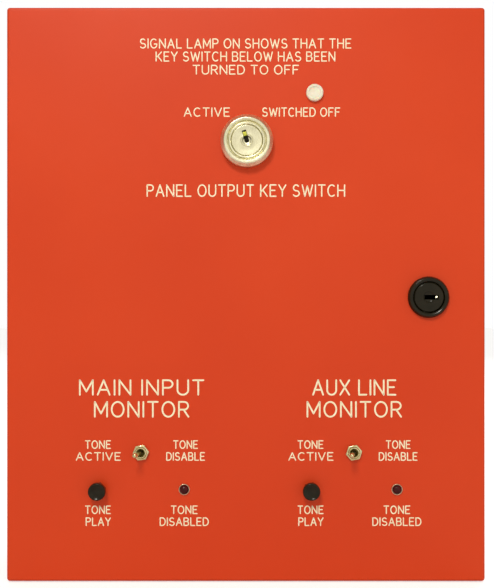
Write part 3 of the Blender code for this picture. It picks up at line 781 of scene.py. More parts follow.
def conduit_bushing():
    flange = INNER_H - CLEARANCE
    profile = [(9.0, flange - 2.0), (12.9, flange - 2.0), (13.5, flange - 1.4), (13.5, flange)]
    profile += [(11.2, flange), (11.2, HALF_H - 0.1), (9.6, HALF_H - 0.1), (9.0, HALF_H - 0.8)]
    place = (*CONDUIT_AT, 0.0)
    shape = turned(profile, place, UP, 72, 0.25)
    piece("conduit_bushing_fine", shape, "cabinet", BLACK, ["conduit_bushing"], place)


def terminal_block(screw):
    """Barrier strip: two rows of clamp plates and screws between moulded ribs."""
    low, high = corners("terminal_block")
    base_front = high.y - 9.0
    middle = (low.z + high.z) / 2
    base = block((low.x, base_front, low.z), high, 0.5, 2)
    ribs = bmesh.new()
    count = 12
    pitch = (high.x - low.x - 2.0) / count
    for number in range(count + 1):
        x = low.x + 1.0 + number * pitch
        add_block(ribs, (x - 0.8, low.y, low.z + 0.6), (x + 0.8, base_front + 1.0, high.z - 0.6))
    soften(ribs, 0.25)
    bar_low = (low.x + 0.5, base_front - 2.2, middle - 1.2)
    bar = block(bar_low, (high.x - 0.5, base_front + 0.8, middle + 1.2), 0.25, 2)
    shape = carved(base, ("UNION", ribs), ("UNION", bar))
    piece("terminal_block_fine", shape, "cabinet", PHENOLIC, ["terminal_block"])
    clamps = bmesh.new()
    heads = bmesh.new()
    columns = [low.x + 1.0 + (number + 0.5) * pitch for number in range(count)]
    for x in columns:
        for z in (middle - 5.2, middle + 5.2):
            spot_low = (x - 3.6, base_front - 1.0, z - 3.4)
            add_block(clamps, spot_low, (x + 3.6, base_front - 0.05, z + 3.4))
            stamp(heads, screw, (x, base_front - 1.0, z))
    soften(clamps, 0.2)
    piece("terminal_clamps", clamps, "cabinet", ZINC)
    piece("terminal_screws", heads, "cabinet", SCREW_ZINC)
    return columns, middle, base_front


def relay(channel, screw):
    node = f"relay_base_{channel}"
    low, high = corners(node)
    x, z = axis_of(node)
    base = block(low, high, 0.8, 3)
    channels = bmesh.new()
    for up, across in RELAY_TERMINALS:
        channel_low = (x + across - 3.2, low.y - 1.0, z + up - 3.0)
        add_block(channels, channel_low, (x + across + 3.2, low.y + 3.4, z + up + 3.0))
    shape = carved(base, ("DIFFERENCE", channels))
    piece(f"{node}_fine", shape, "cabinet", PHENOLIC, [node])
    heads = bmesh.new()
    for up, across in RELAY_TERMINALS:
        stamp(heads, screw, (x + across, low.y + 3.3, z + up))
    piece(f"relay_screws_{channel}", heads, "cabinet", SCREW_ZINC)
    relay_cover_shell(channel)
    relay_works(channel)


def relay_cover_shell(channel):
    low, high = corners(f"relay_cover_{channel}")
    outer = block(low, high, 1.5, 4)
    wall = Vector((1.1, 1.1, 1.1))
    inner = block(low + wall, (high.x - 1.1, high.y + 2.0, high.z - 1.1), 0.8, 3)
    shape = carved(outer, ("DIFFERENCE", inner))
    piece(f"relay_cover_{channel}_fine", shape, "cabinet", CLEAR, [f"relay_cover_{channel}"])


def relay_works(channel):
    """What shows through the clear cover: coil, yoke, armature and contact blades."""
    x, z = axis_of(f"relay_cover_{channel}")
    foot = corners(f"relay_cover_{channel}")[1].y - 0.4
    coil_at = Vector((x, foot - 2.0, z - 4.0))
    bobbin = [(0.0, 0.0), (6.4, 0.0), (6.4, 1.2), (1.0, 1.2)]
    bobbin += [(radius, 22.0 - height) for radius, height in reversed(bobbin)]
    shape = turned(bobbin, coil_at, FRONT, 48)
    piece(f"relay_bobbin_{channel}", shape, "cabinet", PHENOLIC, (), coil_at)
    winding = turned([(1.2, 1.3), (5.7, 1.3), (5.7, 20.7), (1.2, 20.7)], coil_at, FRONT, 48)
    piece(f"relay_winding_{channel}", winding, "cabinet", COPPER, (), coil_at)
    yoke = bmesh.new()
    add_block(yoke, (x - 5.0, foot - 2.0, z - 11.6), (x + 5.0, foot - 0.2, z + 11.4))
    add_block(yoke, (x - 5.0, foot - 25.4, z - 12.0), (x + 5.0, foot - 2.1, z - 10.9))
    add_block(yoke, (x - 5.0, foot - 26.6, z - 12.0), (x + 5.0, foot - 25.5, z + 4.0))
    soften(yoke, 0.3)
    piece(f"relay_yoke_{channel}", yoke, "cabinet", STEEL)
    blades = bmesh.new()
    for step in (-1, 0, 1):
        for depth in (5.2, 7.4, 9.6):
            spot = x + step * 5.4
            blade_low = (spot - 1.1, foot - 29.0 + depth, z + depth - 0.2)
            add_block(blades, blade_low, (spot + 1.1, foot - 0.3, z + depth))
    piece(f"relay_blades_{channel}", blades, "cabinet", BRASS)


def bell(channel, screw):
    low, high = corners(f"bell_gong_{channel}")
    x, z = axis_of(f"bell_gong_{channel}")
    centre = Vector((x, DEVICE_REAR, z))
    base_front = DEVICE_REAR - 2.2
    base = block((x - 22.0, base_front, z - 26.0), (x + 22.0, DEVICE_REAR, z + 26.0), 0.5, 2)
    striker_axis = centre + Vector((-14.0, 0.0, 14.0))
    posts = bmesh.new()
    add_turned(posts, fillet(rod(3.5, 1.0, 27.7)), centre, FRONT, 40)
    add_turned(posts, fillet(rod(2.2, 1.0, 18.0)), striker_axis, FRONT, 32)
    shape = carved(base, ("UNION", posts))
    piece(f"bell_base_{channel}_fine", shape, "cabinet", ZINC, [f"bell_base_{channel}"])
    heads = bmesh.new()
    for side, end in QUARTERS:
        stamp(heads, screw, (x + side * 17.5, base_front, z + end * 21.5))
    piece(f"bell_screws_{channel}", heads, "cabinet", SCREW_ZINC)

    coil_at = centre + Vector((0.0, 0.0, 14.0))
    bobbin = [(0.0, 2.5), (8.0, 2.5), (8.0, 4.0), (3.0, 4.0), (3.0, 16.0), (8.0, 16.0), (8.0, 17.4)]
    bobbin += [(3.0, 17.4), (3.0, 17.8), (0.0, 17.8)]
    shape = turned(bobbin, coil_at, FRONT, 56)
    piece(f"bell_bobbin_{channel}", shape, "cabinet", PHENOLIC, [f"bell_coil_{channel}"], coil_at)
    winding = turned([(3.2, 4.1), (6.9, 4.1), (6.9, 15.9), (3.2, 15.9)], coil_at, FRONT, 56)
    piece(f"bell_winding_{channel}", winding, "cabinet", COPPER, (), coil_at)

    gong_r = (high.x - low.x) / 2
    profile = [(gong_r, 15.0), (gong_r, 18.0)]
    profile += arc((gong_r - 11.0, 18.6), (11.0, 10.8), 0.0, 78.0, 12)
    profile += [(9.0, 29.6), (2.0, 29.6), (2.0, 28.1), (9.0, 28.1)]
    profile += arc((gong_r - 11.0, 18.6), (9.6, 9.3), 78.0, 0.0, 12) + [(gong_r - 1.4, 15.0)]
    shape = turned(profile, centre, FRONT, 112, 0.12)
    piece(f"bell_gong_{channel}_fine", shape, "cabinet", NICKEL, [f"bell_gong_{channel}"], centre)
    cap = bmesh.new()
    add_nut(cap, 8.0, 0.6, centre, 29.7, 32.4, 48)
    dome = [(0.0, 32.0)] + arc((0.0, 32.2), 3.3, 0.0, 80.0, 8) + [(0.0, 35.5)]
    add_turned(cap, dome, centre, FRONT, 40)
    piece(f"bell_cap_nut_{channel}", cap, "cabinet", NICKEL, (), centre)

    arm_low = striker_axis + Vector((-2.6, -20.0, -1.6))
    arm = block(arm_low, striker_axis + Vector((33.5, -18.3, 1.6)), 0.35, 2)
    ball = [(0.0, 16.6)] + arc((0.0, 19.2), (3.0, 2.6), -67.5, 67.5, 6) + [(0.0, 21.8)]
    hammer = turned(ball, striker_axis + Vector((34.0, 0.0, 0.0)), FRONT, 32, 0.0)
    shape = carved(arm, ("UNION", hammer))
    body = f"striker_{channel}"
    piece(f"bell_striker_{channel}_fine", shape, body, STEEL, [f"bell_striker_{channel}"], striker_axis)


# The door


def door_panel():
    past = 2 * BEND
    outer = block(DOOR_LOW, (HALF_W, DOOR_REAR + past, HALF_H), BEND, 6)
    rear_low = (-HALF_W - 1.0, DOOR_REAR, -HALF_H - 1.0)
    rear = block(rear_low, (HALF_W + 1.0, DOOR_REAR + past + 1.0, HALF_H + 1.0))
    inner = block((-INNER_W, DOOR_INNER, -INNER_H), (INNER_W, DOOR_REAR + past + 2.0, INNER_H), 0.5, 2)
    shape = carved(outer, ("DIFFERENCE", rear), ("DIFFERENCE", inner), ("DIFFERENCE", door_holes()))
    piece("door_panel_fine", shape, "door", ENAMEL, ["door_panel"])


def door_holes():
    holes = bmesh.new()
    sizes = [(LOCK_AT, 9.9), (KEY_SWITCH_AT, 9.9), (PILOT_AT, 3.6)]
    for channel in CHANNELS:
        sizes.append((in_channel(TOGGLE_AT, channel), 3.4))
        sizes.append((in_channel(BUTTON_AT, channel), 3.5))
        sizes.append((in_channel(LED_AT, channel), 2.95))
    for at, radius in sizes:
        add_turned(holes, rod(radius, -3.0, 2.0), on_door(at), FRONT, 48)
    for side in (1, -1):
        pin = (HINGE_X, HINGE_Y, side * (INNER_H - 0.5))
        add_turned(holes, rod(1.9, 0.0, 4.0), pin, side * UP, 32)
        lower, upper = sorted((side * 145.0, side * INNER_H))
        notch_low = (-HALF_W - 1.0, DOOR_INNER + 0.6, lower)
        add_block(holes, notch_low, (-INNER_W + 0.4, DOOR_REAR + 1.0, upper))
    return holes


def door_gasket():
    low, high = corners("door_gasket")
    width = Vector((8.0, 0.0, 8.0))
    outer = block(low, high, 1.0, 3)
    inner = block(low + width - Vector((0.0, 2.0, 0.0)), high - width + Vector((0.0, 2.0, 0.0)))
    shape = carved(outer, ("DIFFERENCE", inner))
    piece("door_gasket_fine", shape, "door", FOAM, ["door_gasket"])


def cam_lock(screw):
    place = on_door(LOCK_AT)
    housing = [(8.3, 2.6), (8.7, 2.95), (9.5, 3.3), (10.2, 3.1), (11.0, 1.3), (11.0, CLEARANCE)]
    housing += [(9.5, CLEARANCE)] + thread(9.5, -0.6, -15.2, 0.9, 0.35) + [(9.0, -15.4), (8.3, -15.4)]
    shape = turned(housing, place, FRONT, 96, 0.25)
    piece("lock_housing_fine", shape, "door", BLACK, ["lock_housing"], place)
    nut_piece("lock_nut_fine", "lock_nut", 22.0, 9.9, ZINC)

    plug = [(0.0, 2.6), (7.4, 2.6), (8.0, 2.1), (8.0, -15.7), (6.0, -16.0), (6.0, -17.8), (0.0, -17.8)]
    x, z = LOCK_AT
    hollow = [(0.0, 1.9), (1.9, 1.93), (2.6, 2.15), (3.1, 2.65), (3.1, 4.0), (0.0, 4.0)]
    dish = turned(hollow, place, FRONT, 64, 0.0)
    keyway = bmesh.new()
    add_block(keyway, on_door((x - 2.4, z - 1.2), 4.0), on_door((x + 5.0, z + 1.2), -4.0))
    for vert in keyway.verts:
        if vert.co.y > DOOR_FRONT and vert.co.z > z:
            vert.co.y += 8.0
    shape = carved(turned(plug, place, FRONT, 96, 0.2), ("DIFFERENCE", dish), ("DIFFERENCE", keyway))
    piece("lock_plug_fine", shape, "lock_barrel", BLACK, ["lock_plug"], place)
    wafer = bmesh.new()
    add_block(wafer, (-0.6, -0.8, -0.6), (0.6, 2.4, 0.5))
    soften(wafer, 0.12)
    tilt = Matrix.Translation(on_door((x + 4.05, z), 1.6)) @ Matrix.Rotation(math.radians(-12.0), 4, "Z")
    tilt = tilt @ Matrix.Rotation(math.radians(-18.0), 4, "X")
    bmesh.ops.transform(wafer, matrix=tilt, verts=wafer.verts)
    piece("lock_wafer", wafer, "lock_barrel", NICKEL, (), place)

    low, high = corners("lock_cam")
    outline = arc((x, z), 7.0, 0.0, 180.0, 24)
    outline += arc((x, low.z + 5.0), 5.0, 180.0, 360.0, 18)
    cam = bmesh.new()
    add_prism(cam, outline, low.y, high.y, "Y")
    rims = [edge for edge in cam.edges if abs(edge.verts[0].co.y - edge.verts[1].co.y) < 0.01]
    soften(cam, 0.25, 2, rims)
    hole = turned(rod(2.1, -30.0, 0.0), place, FRONT, 32, 0.0)
    shape = carved(cam, ("DIFFERENCE", hole))
    piece("lock_cam_fine", shape, "lock_barrel", ZINC, ["lock_cam"], place)
    rear = corners("lock_cam_screw")[1].y
    washer = [(0.0, 0.0), (1.8, 0.0), (1.8, 0.3), (5.4, 0.3), (5.4, 1.0), (0.0, 1.0)]
    shape = turned(washer, (x, high.y, z), -FRONT, 48, 0.1)
    flatten = Matrix.Diagonal((1.0, (rear - high.y - 1.0) / 2.0, 1.0, 1.0))
    stamp(shape, screw, (x, high.y + 1.0, z), INWARD @ flatten)
    piece("lock_cam_screw_fine", shape, "lock_barrel", SCREW_ZINC, ["lock_cam_screw"], place)


def key_switch(screw):
    place = on_door(KEY_SWITCH_AT)
    x, z = KEY_SWITCH_AT
    rear = -17.6
    housing = [(8.4, 5.9), (8.6, 6.3), (9.5, 6.35), (9.7, 4.6), (10.3, 4.6), (10.5, 6.8), (11.8, 6.9)]
    housing += [(12.2, 6.65), (13.9, 4.7), (13.9, CLEARANCE), (9.5, CLEARANCE)]
    housing += thread(9.5, -0.6, rear + 0.4, 0.9, 0.35) + [(9.0, rear), (8.4, rear)]
    shape = turned(housing, place, FRONT, 120, 0.22)
    piece("key_switch_housing_fine", shape, "door", NICKEL, ["key_switch_housing"], place)
    nut_piece("key_switch_nut_fine", "key_switch_nut", 24.0, 9.9, ZINC)

    plug = [(0.0, 4.6), (2.0, 4.8), (2.3, 6.0), (2.6, 6.2), (3.0, 6.2), (3.3, 5.65), (5.6, 5.75)]
    plug += [(7.9, 5.9), (8.3, 5.5), (8.3, rear + 0.3), (0.0, rear + 0.3)]
    turn = Matrix.Rotation(math.radians(-17.0), 4, "Y")
    lean = Matrix.Translation((x, 0.0, z)) @ turn
    slot = bmesh.new()
    add_block(slot, on_door((-1.15, 0.6), 8.0), on_door((1.15, 5.5), 2.6))
    bmesh.ops.transform(slot, matrix=lean, verts=slot.verts)
    bore = turned([(0.0, 1.5), (1.3, 1.5), (1.3, 8.0), (0.0, 8.0)], place, FRONT, 40, 0.0)
    shape = carved(turned(plug, place, FRONT, 120, 0.18), ("DIFFERENCE", slot), ("DIFFERENCE", bore))
    piece("key_switch_plug_fine", shape, "key_barrel", NICKEL, ["key_switch_plug"], place)
    # The black keyway lining and the cup in the centre hole are painted shade: dark sheets that stand for
    # the shade inside the slot and the hole
    keyway_shade = block(on_door((-1.13, 0.0), 5.2), on_door((1.13, 5.48), 2.7), 0.1, 2)
    pocket = block(on_door((-0.8, 1.0), 6.0), on_door((0.8, 5.0), 3.6))
    bmesh.ops.transform(keyway_shade, matrix=lean, verts=keyway_shade.verts)
    bmesh.ops.transform(pocket, matrix=lean, verts=pocket.verts)
    hole_shade_profile = [(0.0, 3.4), (0.7, 3.4), (0.8, 4.7), (1.28, 4.7), (1.28, 1.6), (0.0, 1.6)]
    tube = turned(hole_shade_profile, place, FRONT, 40, 0.0)
    shape = carved(keyway_shade, ("DIFFERENCE", pocket), ("UNION", tube))
    piece("key_switch_keyway_shade", shape, "key_barrel", BLACK, (), place)
    wafer = bmesh.new()
    add_block(wafer, (-0.95, -0.2, -1.05), (0.95, 1.6, 1.05))
    soften(wafer, 0.12)
    seat = lean @ Matrix.Translation(on_door((0.0, 3.5), 5.4))
    bmesh.ops.transform(wafer, matrix=seat, verts=wafer.verts)
    piece("key_switch_wafer", wafer, "key_barrel", BRASS, (), place)
    contact_block(screw)


def contact_block(screw):
    low, high = corners("key_switch_contact_block")
    x, z = axis_of("key_switch_contact_block")
    body = block(low, high, 1.0, 3)
    pockets = bmesh.new()
    for side, end in QUARTERS:
        pocket_low = (x + side * 7.0 - 3.1, high.y - 2.6, z + end * 6.8 - 3.1)
        add_block(pockets, pocket_low, (x + side * 7.0 + 3.1, high.y + 1.0, z + end * 6.8 + 3.1))
    add_block(pockets, (x - 0.5, high.y - 1.0, low.z - 1.0), (x + 0.5, high.y + 1.0, high.z + 1.0))
    shape = carved(body, ("DIFFERENCE", pockets))
    piece("key_switch_contacts", shape, "door", PHENOLIC, ["key_switch_contact_block"])
    heads = bmesh.new()
    for side, end in QUARTERS:
        stamp(heads, screw, (x + side * 7.0, high.y - 2.5, z + end * 6.8), INWARD)
    piece("key_switch_screws", heads, "door", SCREW_ZINC)


def pilot_light():
    place = on_door(PILOT_AT)
    lens = [(0.0, 1.9), (2.9, 1.95), (3.2, 2.5), (4.0, 2.5), (4.55, 1.9)]
    lens += [(4.55, CLEARANCE), (0.0, CLEARANCE)]
    shape = turned(lens, place, FRONT, 80, 0.2)
    piece("pilot_lens_fine", shape, "door", WHITE, ["pilot_lens"], place)
    body = [(0.0, 0.0), (3.3, 0.0)] + thread(3.3, -0.6, -10.8) + [(2.4, -11.0), (2.4, -13.0), (0.0, -13.0)]
    shape = turned(body, place, FRONT, 48, 0.0)
    add_lugs(shape, PILOT_AT, -12.8, [(-1.2, 0.0), (1.2, 0.0)], 2.2)
    piece("pilot_body_fine", shape, "door", BLACK, ["pilot_body"], place)
    nut_piece("pilot_nut_fine", "pilot_nut", 9.5, 3.6, ZINC)


def add_lugs(shape, at, height, offsets, length):
    """Flat solder lugs that stand out behind a device."""
    for across, up in offsets:
        x = at[0] + across
        z = at[1] + up
        low = (x - 0.25, DOOR_FRONT - height, z - 0.9)
        add_block(shape, low, (x + 0.25, DOOR_FRONT - height + length, z + 0.9))


def toggle_switch(channel):
    at = in_channel(TOGGLE_AT, channel)
    place = on_door(at)
    bushing = [(0.0, -1.3), (2.1, -1.3), (2.1, 2.1), (2.35, 2.6), (2.8, 2.6)]
    bushing += thread(3.05, 2.3, -1.8) + [(0.0, -2.0)]
    shape = turned(bushing, place, FRONT, 64, 0.0)
    node = f"toggle_bushing_{channel}"
    piece(f"{node}_fine", shape, "door", YELLOW_ZINC, [node], place)
    nut = f"toggle_nut_{channel}"
    nut_piece(f"{nut}_fine", nut, 7.6, 2.95, YELLOW_ZINC, 5.0 + 3.0 * channel)
    # A dark cup lining the bushing's bore: painted shade for the inside of the bore
    bore_shade = [(0.0, -1.25), (2.08, -1.25), (2.08, 1.9), (1.9, 1.9), (1.9, -0.9), (0.0, -0.9)]
    bore_shade_shape = turned(bore_shade, place, FRONT, 48, 0.0)
    piece(f"toggle_bore_shade_{channel}", bore_shade_shape, "door", SHADED_BRASS, (), place)

    low, high = corners(f"toggle_body_{channel}")
    case = block((low.x, low.y + 0.8, low.z), high, 0.4, 2)
    piece(f"toggle_body_{channel}_fine", case, "door", PHENOLIC, [f"toggle_body_{channel}"])
    strap = bmesh.new()
    add_block(strap, (low.x, low.y, low.z), (high.x, low.y + 0.7, high.z))
    lugs = [(-4.7, 0.0), (0.0, 0.0), (4.7, 0.0)]
    add_lugs(strap, at, DOOR_FRONT - high.y + 0.1, lugs, 4.0)
    piece(f"toggle_metal_{channel}", strap, "door", NICKEL)

    node = f"toggle_lever_{channel}"
    pivot = on_door(at, 0.9)
    lean = Vector((-math.sin(TOGGLE_LEAN), -math.cos(TOGGLE_LEAN), 0.0))
    bat = [(0.0, -1.3), (0.9, -1.0), (1.25, 0.0), (0.95, 1.0), (0.88, 4.0), (1.02, 7.0), (1.25, 10.2)]
    bat += [(1.25, 11.4), (0.92, 12.2), (0.0, 12.45)]
    shape = turned(bat, pivot, lean, 48, 0.5)
    piece(f"{node}_fine", shape, f"toggle_arm_{channel}", YELLOW_ZINC, [node], pivot)


def push_button(channel):
    at = in_channel(BUTTON_AT, channel)
    place = on_door(at)
    body = [(0.0, -2.9), (1.95, -2.9), (1.95, 2.0), (2.9, 2.0)] + thread(3.2, 1.7, -1.7)
    body += [(5.5, -1.85), (5.5, -12.5), (4.6, -13.0), (0.0, -13.0)]
    shape = turned(body, place, FRONT, 64, 0.0)
    node = f"button_body_{channel}"
    piece(f"{node}_fine", shape, "door", BLACK, [node], place)
    lugs = bmesh.new()
    add_lugs(lugs, at, -12.9, [(-2.5, 0.0), (2.5, 0.0)], 4.0)
    piece(f"button_lugs_{channel}", lugs, "door", NICKEL)
    nut_piece(f"button_nut_{channel}_fine", f"button_nut_{channel}", 7.5, 3.1, BLACK, 15.0)
    dish_r = 8.9
    cap = arc((0.0, 6.05 + dish_r), dish_r, -90.0, -63.3, 10)
    cap[0] = (0.0, cap[0][1])
    cap += [(4.35, 6.9), (4.6, 6.4), (4.6, 3.9), (1.6, 3.9), (1.6, -0.3), (0.0, -0.3)]
    shape = turned(cap, place, FRONT, 80, 0.2)
    node = f"button_cap_{channel}"
    piece(f"{node}_fine", shape, f"button_{channel}", BLACK, [node], place)


def indicator(channel):
    at = in_channel(LED_AT, channel)
    place = on_door(at)
    holder = [(2.62, 1.1), (2.76, 1.1), (2.95, 0.85), (3.0, CLEARANCE), (2.7, CLEARANCE), (2.7, -6.0)]
    holder += [(2.5, -6.0), (2.5, 0.45), (2.62, 0.45)]
    shape = turned(holder, place, FRONT, 64, 0.12)
    piece(f"led_holder_{channel}_fine", shape, "door", NICKEL, [f"led_holder_{channel}"], place)
    lens = arc((0.0, 0.75), (2.46, 1.75), 90.0, 8.0, 10)
    lens = [(max(radius, 0.0), height) for radius, height in lens]
    lens[0] = (0.0, lens[0][1])
    lens += [(2.46, 0.75), (2.1, 0.75), (2.1, -8.0), (0.0, -8.0)]
    shape = turned(lens, place, FRONT, 64, 0.0)
    piece(f"led_lens_{channel}_fine", shape, "door", RED_LENS, [f"led_lens_{channel}"], place)


# Raised legends, drawn with single strokes on a unit-high cell


def line(*points):
    return list(points)


GLYPHS = {
    "A": (0.74, [line((0, 0), (0.37, 1), (0.74, 0)), line((0.13, 0.34), (0.61, 0.34))]),
    "B": (
        0.62,
        [
            line((0.34, 0.53), (0, 0.53), (0, 1)) + arc((0.34, 0.765), (0.24, 0.235), 90, -90, 8),
            line((0, 0.53), (0, 0)) + arc((0.36, 0.265), (0.26, 0.265), -90, 90, 8),
        ],
    ),
    "C": (0.68, [arc((0.38, 0.5), (0.38, 0.5), 52, 308, 16)]),
    "D": (0.68, [line((0, 0), (0, 1)) + arc((0.28, 0.5), (0.4, 0.5), 90, -90, 12) + line((0, 0))]),
    "E": (0.56, [line((0.56, 1), (0, 1), (0, 0), (0.56, 0)), line((0, 0.52), (0.46, 0.52))]),
    "F": (0.56, [line((0.56, 1), (0, 1), (0, 0)), line((0, 0.52), (0.46, 0.52))]),
    "G": (0.74, [arc((0.38, 0.5), (0.38, 0.5), 50, 330, 16) + line((0.74, 0.45), (0.44, 0.45))]),
    "H": (0.66, [line((0, 0), (0, 1)), line((0.66, 0), (0.66, 1)), line((0, 0.52), (0.66, 0.52))]),
    "I": (0.0, [line((0, 0), (0, 1))]),
    "K": (0.64, [line((0, 0), (0, 1)), line((0.62, 1), (0, 0.36)), line((0.2, 0.57), (0.64, 0))]),
    "L": (0.54, [line((0, 1), (0, 0), (0.54, 0))]),
    "M": (0.8, [line((0, 0), (0, 1), (0.4, 0.22), (0.8, 1), (0.8, 0))]),
    "N": (0.68, [line((0, 0), (0, 1), (0.68, 0), (0.68, 1))]),
    "O": (0.78, [arc((0.39, 0.5), (0.39, 0.5), 90, 450, 24)]),
    "P": (0.6, [line((0, 0), (0, 1)) + arc((0.34, 0.74), (0.26, 0.26), 90, -90, 8) + line((0, 0.48))]),
    "R": (
        0.62,
        [
            line((0, 0), (0, 1)) + arc((0.34, 0.74), (0.26, 0.26), 90, -90, 8) + line((0, 0.48)),
            line((0.3, 0.48), (0.62, 0)),
        ],
    ),
    "S": (
        0.62,
        [
            arc((0.31, 0.745), (0.27, 0.255), 35, 270, 10)
            + arc((0.31, 0.25), (0.31, 0.25), 90, -150, 10)[1:],
        ],
    ),
    "T": (0.64, [line((0, 1), (0.64, 1)), line((0.32, 1), (0.32, 0))]),
    "U": (0.66, [line((0, 1)) + arc((0.33, 0.32), (0.33, 0.32), 180, 360, 12) + line((0.66, 1))]),
    "V": (0.72, [line((0, 1), (0.36, 0), (0.72, 1))]),
    "W": (1.0, [line((0, 1), (0.25, 0), (0.5, 0.9), (0.75, 0), (1.0, 1))]),
    "X": (0.66, [line((0, 0), (0.66, 1)), line((0, 1), (0.66, 0))]),
    "Y": (0.68, [line((0, 1), (0.34, 0.48), (0.68, 1)), line((0.34, 0.48), (0.34, 0))]),
}
SMALL_STROKE = 0.6
TITLE_STROKE = 0.7
HEADING_STROKE = 0.92
LETTER_GAP = 0.3
WORD_GAP = 0.72


def add_stroke(shape, points, half_width, rise):
    """A ribbon with a crowned face and round ends, its foot sunk into the door's face."""
    tangents = []
    for index in range(len(points)):
        before = points[max(index - 1, 0)]
        after = points[min(index + 1, len(points) - 1)]
        tangents.append((after - before).normalized())
    stations = []
    caps = ((0.92, 0.4), (0.7, 0.72))
    for back, share in caps:
        stations.append((points[0] - tangents[0] * half_width * back, tangents[0], share, 1.0))
    for index, point in enumerate(points):
        widen = 1.0
        if 0 < index < len(points) - 1:
            into = (point - points[index - 1]).normalized()
            widen = 1.0 / max(0.5, into.dot(tangents[index]))
        stations.append((point, tangents[index], 1.0, widen))
    for back, share in reversed(caps):
        stations.append((points[-1] + tangents[-1] * half_width * back, tangents[-1], share, 1.0))
    section = ((-1.0, -0.5), (-1.0, 0.35), (-0.55, 1.0), (0.55, 1.0), (1.0, 0.35), (1.0, -0.5))
    rings = []
    for centre, tangent, share, widen in stations:
        across = Vector((-tangent.y, tangent.x))
        ring = []
        for side, lift in section:
            spot = centre + across * side * half_width * share * widen
            depth = rise * lift * (share if lift > 0 else 1.0)
            ring.append(shape.verts.new((spot.x, DOOR_FRONT - depth, spot.y)))
        rings.append(ring)
    skin(shape, rings)


def without_corners(points):
    """Splits a stroke at its sharp corners, so that each ribbon bends gently."""
    runs = [[points[0]]]
    for index in range(1, len(points)):
        runs[-1].append(points[index])
        if index == len(points) - 1:
            break
        into = (points[index] - points[index - 1]).normalized()
        out = (points[index + 1] - points[index]).normalized()
        if into.dot(out) < 0.8:
            runs.append([points[index]])
    return runs


def add_words(shape, words, centre_x, base_z, height, width, stroke):
    """One row of a legend, spread to a width and centred."""
    natural = 0.0
    places = []
    for letter in words:
        if letter == " ":
            natural += WORD_GAP - LETTER_GAP
            continue
        places.append((letter, natural))
        natural += GLYPHS[letter][0] + LETTER_GAP
    natural -= LETTER_GAP
    reach = width - stroke
    tall = height - stroke
    squeeze = reach / natural
    for letter, start in places:
        for points in GLYPHS[letter][1]:
            spots = []
            for u, v in points:
                x = centre_x - reach / 2 + (start + u) * squeeze
                spot = Vector((x, base_z + stroke / 2 + v * tall))
                if not spots or (spot - spots[-1]).length > 0.02:
                    spots.append(spot)
            for run in without_corners(spots):
                add_stroke(shape, run, stroke / 2, 0.09)


def legend(name, rows):
    shape = bmesh.new()
    for row in rows:
        add_words(shape, *row)
    piece(name, shape, "door", LEGEND, (), (0.0, 0.0, 0.0), 60.0)


def legends():
    top = [("SIGNAL LAMP ON SHOWS THAT THE", -0.2, 130.4, 5.4, 112.3, SMALL_STROKE)]
    top += [("KEY SWITCH BELOW HAS BEEN", -0.2, 123.5, 5.4, 95.4, SMALL_STROKE)]
    top += [("TURNED TO OFF", 0.0, 116.6, 5.2, 56.4, SMALL_STROKE)]
    legend("legend_top", top)
    key = [("ACTIVE", -20.7, 94.2, 5.0, 24.5, SMALL_STROKE)]
    key += [("SWITCHED OFF", 29.3, 94.2, 5.0, 41.5, SMALL_STROKE)]
    legend("legend_key", key)
    legend("legend_title", [("PANEL OUTPUT KEY SWITCH", 0.0, 51.7, 6.7, 105.4, TITLE_STROKE)])
    headings = {1: ("MAIN INPUT", 66.5), 2: ("AUX LINE", 44.6)}
    for channel in CHANNELS:
        middle = in_channel(TOGGLE_AT, channel)[0] + 0.3
        heading, width = headings[channel]
        left = in_channel(BUTTON_AT, channel)[0]
        right = in_channel(LED_AT, channel)[0]
        rows = [(heading, middle, -53.7, 8.6, width, HEADING_STROKE)]
        rows += [("MONITOR", middle, -65.4, 8.8, 50.6, HEADING_STROKE)]
        rows += [("TONE", left - 0.2, -82.0, 4.6, 13.8, SMALL_STROKE)]
        rows += [("ACTIVE", left, -88.3, 4.6, 23.9, SMALL_STROKE)]
        rows += [("TONE", right + 0.7, -82.0, 4.6, 13.2, SMALL_STROKE)]
        rows += [("DISABLE", right + 0.7, -88.3, 4.6, 20.6, SMALL_STROKE)]
        rows += [("TONE", left - 0.2, -116.6, 4.6, 13.8, SMALL_STROKE)]
        rows += [("PLAY", left, -122.9, 4.6, 13.4, SMALL_STROKE)]
        rows += [("TONE", right, -116.6, 4.6, 14.2, SMALL_STROKE)]
        rows += [("DISABLED", right, -122.9, 4.6, 26.1, SMALL_STROKE)]
        legend(f"legend_channel_{channel}", rows)


# Wiring

BUNDLE = ["red", "black", "white", "yellow", "blue", "green", "brown"]
WIRE_R = 1.12
TIES = [("cabinet", 0.12), ("cabinet", 0.5), ("cabinet", 0.86), ("door", 0.2), ("door", 0.6)]
HARNESS_X = -100.0
# The terminals that the harness's last four wires go to, below the strip
LOWER_COLUMNS = (0, 4, 5, 6)


